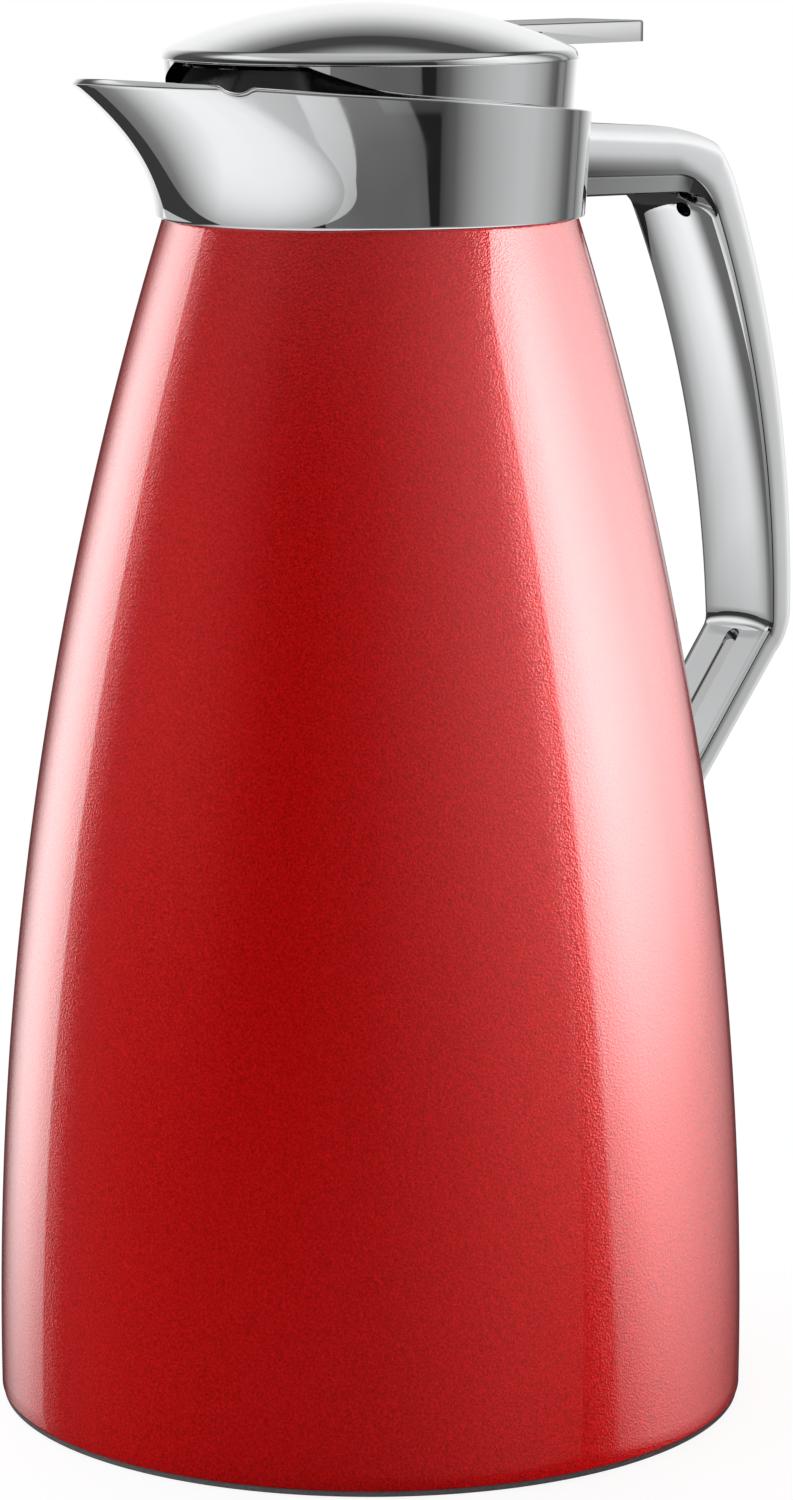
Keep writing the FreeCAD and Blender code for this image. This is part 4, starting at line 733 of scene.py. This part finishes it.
def sheared(nodes, links, along, beside, amount):
    """Moves a pattern along one side of a lamp, by how far a place is from the other side's end."""
    shift = nodes.new("ShaderNodeMath")
    shift.operation = "MULTIPLY_ADD"
    shift.inputs[1].default_value = amount
    shift.inputs[2].default_value = -amount
    links.new(beside, shift.inputs[0])
    moved = nodes.new("ShaderNodeMath")
    moved.operation = "ADD"
    links.new(along, moved.inputs[0])
    links.new(shift.outputs["Value"], moved.inputs[1])
    return moved.outputs["Value"]


def multiplied(nodes, links, first, second):
    product = nodes.new("ShaderNodeMath")
    product.operation = "MULTIPLY"
    links.new(first, product.inputs[0])
    links.new(second, product.inputs[1])
    return product.outputs["Value"]


def soft_box(name, lit, reach, radiance, across, upright, lean=0, slope=0):
    """A soft box that lights one group of pieces, with a pattern across it and one from its foot to its top.
    lean and slope slant the two patterns."""
    first, last, low, high = across[0][0], across[-1][0], upright[0][0], upright[-1][0]
    middle, spread = (first + last) / 2, tan(radians(last - first) / 2)
    angle = -pi / 2 - CAMERA_TURN + radians(middle)
    lamp = bpy.data.lights.new(name, "AREA")
    lamp.shape = "RECTANGLE"
    lamp.size, lamp.size_y = 2 * reach * spread, high - low
    lamp.energy = radiance * pi * lamp.size * lamp.size_y
    lamp.use_nodes = True
    nodes, links = lamp.node_tree.nodes, lamp.node_tree.links
    spot = nodes.new("ShaderNodeSeparateXYZ")
    links.new(nodes.new("ShaderNodeNewGeometry").outputs["Parametric"], spot.inputs["Vector"])
    sideways = ramped(nodes, links, sheared(nodes, links, spot.outputs["X"], spot.outputs["Y"], lean), *[
        (0.5 + tan(radians(turn - middle)) / spread / 2, grey(level)) for turn, level in across])
    climbing = ramped(nodes, links, sheared(nodes, links, spot.outputs["Y"], spot.outputs["X"], slope), *[
        ((height - low) / (high - low), grey(level)) for height, level in upright])
    links.new(multiplied(nodes, links, sideways, climbing), nodes["Emission"].inputs["Strength"])
    box = bpy.data.objects.new(name, lamp)
    box.location = (cos(angle) * reach, sin(angle) * reach, (low + high) / 2)
    box.rotation_euler = Vector((-cos(angle), -sin(angle), 0)).to_track_quat("-Z", "Y").to_euler()
    bpy.context.scene.collection.objects.link(box)
    box.visible_camera = False
    box.light_linking.receiver_collection = lit
    return box


lacquered = group_of("lacquered", casing)
bands = (
    soft_box("left_box", lacquered, reach=0.8, radiance=4, across=(
        (-158, 0.01), (-146, 0.02), (-140, 0.05), (-134, 0.25), (-122, 0.75), (-112, 0.95), (-102, 0.9), (-101, 0),
        (-100, 0)), upright=LEFT_FADE, lean=-0.32),
    soft_box("left_glow", lacquered, reach=0.8, radiance=0.12, across=(
        (-104, 1), (-89, 0.7), (-78, 0.4), (-60, 0.1), (-50, 0.02)), upright=LEFT_FADE),
    soft_box("right_box", lacquered, reach=0.8, radiance=10.8, across=(
        (56, 0), (63, 0), (65, 0.8), (77, 0.95), (102, 0.38), (120, 0.2), (135, 0.11), (146, 0.06), (150, 0),
        (158, 0)), upright=RIGHT_FADE, lean=0.17),
    soft_box("right_glow", lacquered, reach=0.9, radiance=0.9, across=(
        (-20, 0.01), (0, 0.09), (24, 0.38), (41, 0.7), (66, 1)), upright=GLOW_FADE))
for box in bands:
    box.visible_diffuse = False
fills = (
    soft_box("left_fill", lacquered, reach=0.9, radiance=3.7, across=((-90, 1), (-50, 1)),
             upright=((0.1, 1), (0.8, 1))),
    soft_box("right_fill", lacquered, reach=0.9, radiance=6, across=((55, 1), (95, 1)),
             upright=((-0.1, 0.6), (0.2, 1), (0.7, 1))))
for box in fills:
    box.visible_glossy = False

# Chrome's lamps: panels round the jug, each of which lights only some of the chromed pieces, and a lit table.
# The photograph's chrome shows no red, so the casing, its foot and what is inside it are left out of reflections.
TABLE_SIZE, TABLE_SHIFT, TABLE_Z, TABLE_RANGE = 0.96, 0.1, 0.001, 2
TABLE_LIGHT = ((0, 1.05), (0.28, 1.0), (0.4, 0.9), (0.58, 0.64), (0.7, 0.47), (0.84, 0.39), (1, 0.33))
TO_CAMERA, TO_RIGHT = (-sin(CAMERA_TURN), -cos(CAMERA_TURN), 0), (cos(CAMERA_TURN), -sin(CAMERA_TURN), 0)
TABLE_SLANTS = ((TO_CAMERA, -0.25, -0.03, 0.35, 1), (TO_RIGHT, 0.05, 0.25, 1, 1.4))

chromed, crowned = group_of("chromed", collar, dome, lever), group_of("crowned", collar, dome)
pressed, gripped = group_of("pressed", lever), group_of("gripped", handle)
soft_box("left_panel", chromed, reach=1, radiance=1, across=(
    (-150, 0.5), (-104, 0.55), (-75, 0.5), (-60, 0.45), (-45, 0.5), (-30, 0.45), (-22, 0.42)),
    upright=((-0.3, 1), (0.24, 1)))
soft_box("front_panel", chromed, reach=1, radiance=0.2, across=(
    (-22, 0.8), (5, 0.6), (15, 0.62), (30, 0.75), (40, 1.1), (48, 1.1)),
    upright=((-0.45, 1), (-0.25, 0.9), (-0.18, 0.68), (-0.17, 0), (0.25, 0)), slope=1.14)
soft_box("right_panel", chromed, reach=1, radiance=1, across=(
    (36, 0), (37, 0.04), (40, 0.07), (44, 0.1), (48, 0.18), (53, 0.27), (58, 0.36), (64, 0.43), (72, 0.5), (84, 0.57),
    (93, 0.56), (100, 0.48), (107, 0.42), (114, 0.3), (121, 0.12), (127, 0.06), (132, 0.22), (138, 0.22)),
    upright=((-0.3, 1), (0.2, 1), (0.34, 1.7), (1.25, 1.9)))
soft_box("back_panel", crowned, reach=1, radiance=1, across=(
    (138, 0.12), (150, 0.55), (163, 0.9), (197, 0.9), (210, 0.55), (222, 0.12)),
    upright=((-0.05, 1), (0.6, 1), (0.72, 0.9), (0.85, 0.65), (1, 0.3), (1.15, 0.06)))
soft_box("lever_panel", pressed, reach=1, radiance=0.35, across=(
    (150, 0.6), (180, 1), (210, 0.6)), upright=((0.1, 1), (0.8, 1)))
soft_box("handle_panel", gripped, reach=1, radiance=1, across=(
    (92, 0.03), (98, 0.06), (100, 0.2), (102.5, 0.36), (106, 0.55), (110, 0.64), (121, 0.68), (130, 0.72),
    (144, 1.05), (154, 0.95), (164, 0.72), (174, 0.6)),
    upright=((-0.25, 0.65), (0, 0.85), (0.2, 0.95), (0.3, 1), (1, 1)))
soft_box("inner_panel", gripped, reach=1, radiance=1, across=(
    (-152, 0.08), (-146, 0.1), (-131, 0.11), (-127, 0.13), (-121, 0.35), (-115.5, 0.62), (-110, 0.85), (-104.6, 1),
    (-98, 1.03), (-92.6, 1.02), (-83, 0.95), (-75, 0.9), (-68, 0.82), (-62, 0.75), (-56, 0.62), (-50, 0.5),
    (-44, 0.36), (-36, 0.2), (-25, 0.12)), upright=(
    (-1.8, 1.05), (-0.83, 1.05), (-0.55, 1), (-0.4, 0.95), (-0.32, 0.87), (-0.19, 0.8), (-0.08, 0.62), (0.12, 0.3)))

table = bpy.data.lights.new("table_glow", "AREA")
table.shape = "DISK"
table.size = TABLE_SIZE
table.energy = pi * pi / 4 * TABLE_SIZE ** 2
table.use_nodes = True
nodes, links = table.node_tree.nodes, table.node_tree.links
place = nodes.new("ShaderNodeNewGeometry").outputs["Position"]
from_axis = nodes.new("ShaderNodeVectorMath")
from_axis.operation = "LENGTH"
links.new(place, from_axis.inputs[0])
outward = nodes.new("ShaderNodeMath")
outward.operation = "MULTIPLY"
outward.inputs[1].default_value = TABLE_RANGE
links.new(from_axis.outputs["Value"], outward.inputs[0])
table_light = ramped(nodes, links, outward.outputs["Value"], *[(share, grey(level)) for share, level in TABLE_LIGHT])
for way, first, last, least, most in TABLE_SLANTS:
    along = nodes.new("ShaderNodeVectorMath")
    along.operation = "DOT_PRODUCT"
    along.inputs[1].default_value = way
    links.new(place, along.inputs[0])
    slant = nodes.new("ShaderNodeMapRange")
    for end, value in {"From Min": first, "From Max": last, "To Min": least, "To Max": most}.items():
        slant.inputs[end].default_value = value
    links.new(along.outputs["Value"], slant.inputs["Value"])
    table_light = multiplied(nodes, links, table_light, slant.outputs["Result"])
links.new(table_light, nodes["Emission"].inputs["Strength"])
lit_table = bpy.data.objects.new("table_glow", table)
lit_table.location = (TABLE_SHIFT * TO_RIGHT[0], TABLE_SHIFT * TO_RIGHT[1], TABLE_Z)
lit_table.rotation_euler = (pi, 0, 0)
lit_table.visible_camera = False
bpy.context.scene.collection.objects.link(lit_table)
lit_table.light_linking.receiver_collection = chromed
for piece in (casing, foot_ring, *(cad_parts[name] for name in (
        "liner_outer", "liner_inner", "base_plate", "foot_pad", "liner_cushion", "neck_seal", "clamp_ring"))):
    piece.visible_glossy = False

# Overhead: one broad lamp above and behind the jug that lights every piece and throws the soft shadow on the floor.
# It shows in no reflection.
OVERHEAD_SIZE, OVERHEAD_ENERGY, OVERHEAD_PLACE, OVERHEAD_WAY = 0.9, 8, (0.1, 0.25, 1.2), (-0.1, -0.25, -1)

overhead = bpy.data.objects.new("overhead", bpy.data.lights.new("overhead", "AREA"))
overhead.data.shape = "DISK"
overhead.data.size = OVERHEAD_SIZE
overhead.data.energy = OVERHEAD_ENERGY
overhead.visible_glossy = False
overhead.location = OVERHEAD_PLACE
overhead.rotation_euler = Vector(OVERHEAD_WAY).to_track_quat("-Z", "Y").to_euler()
bpy.context.scene.collection.objects.link(overhead)

bpy.context.scene.view_settings.view_transform = "Standard"
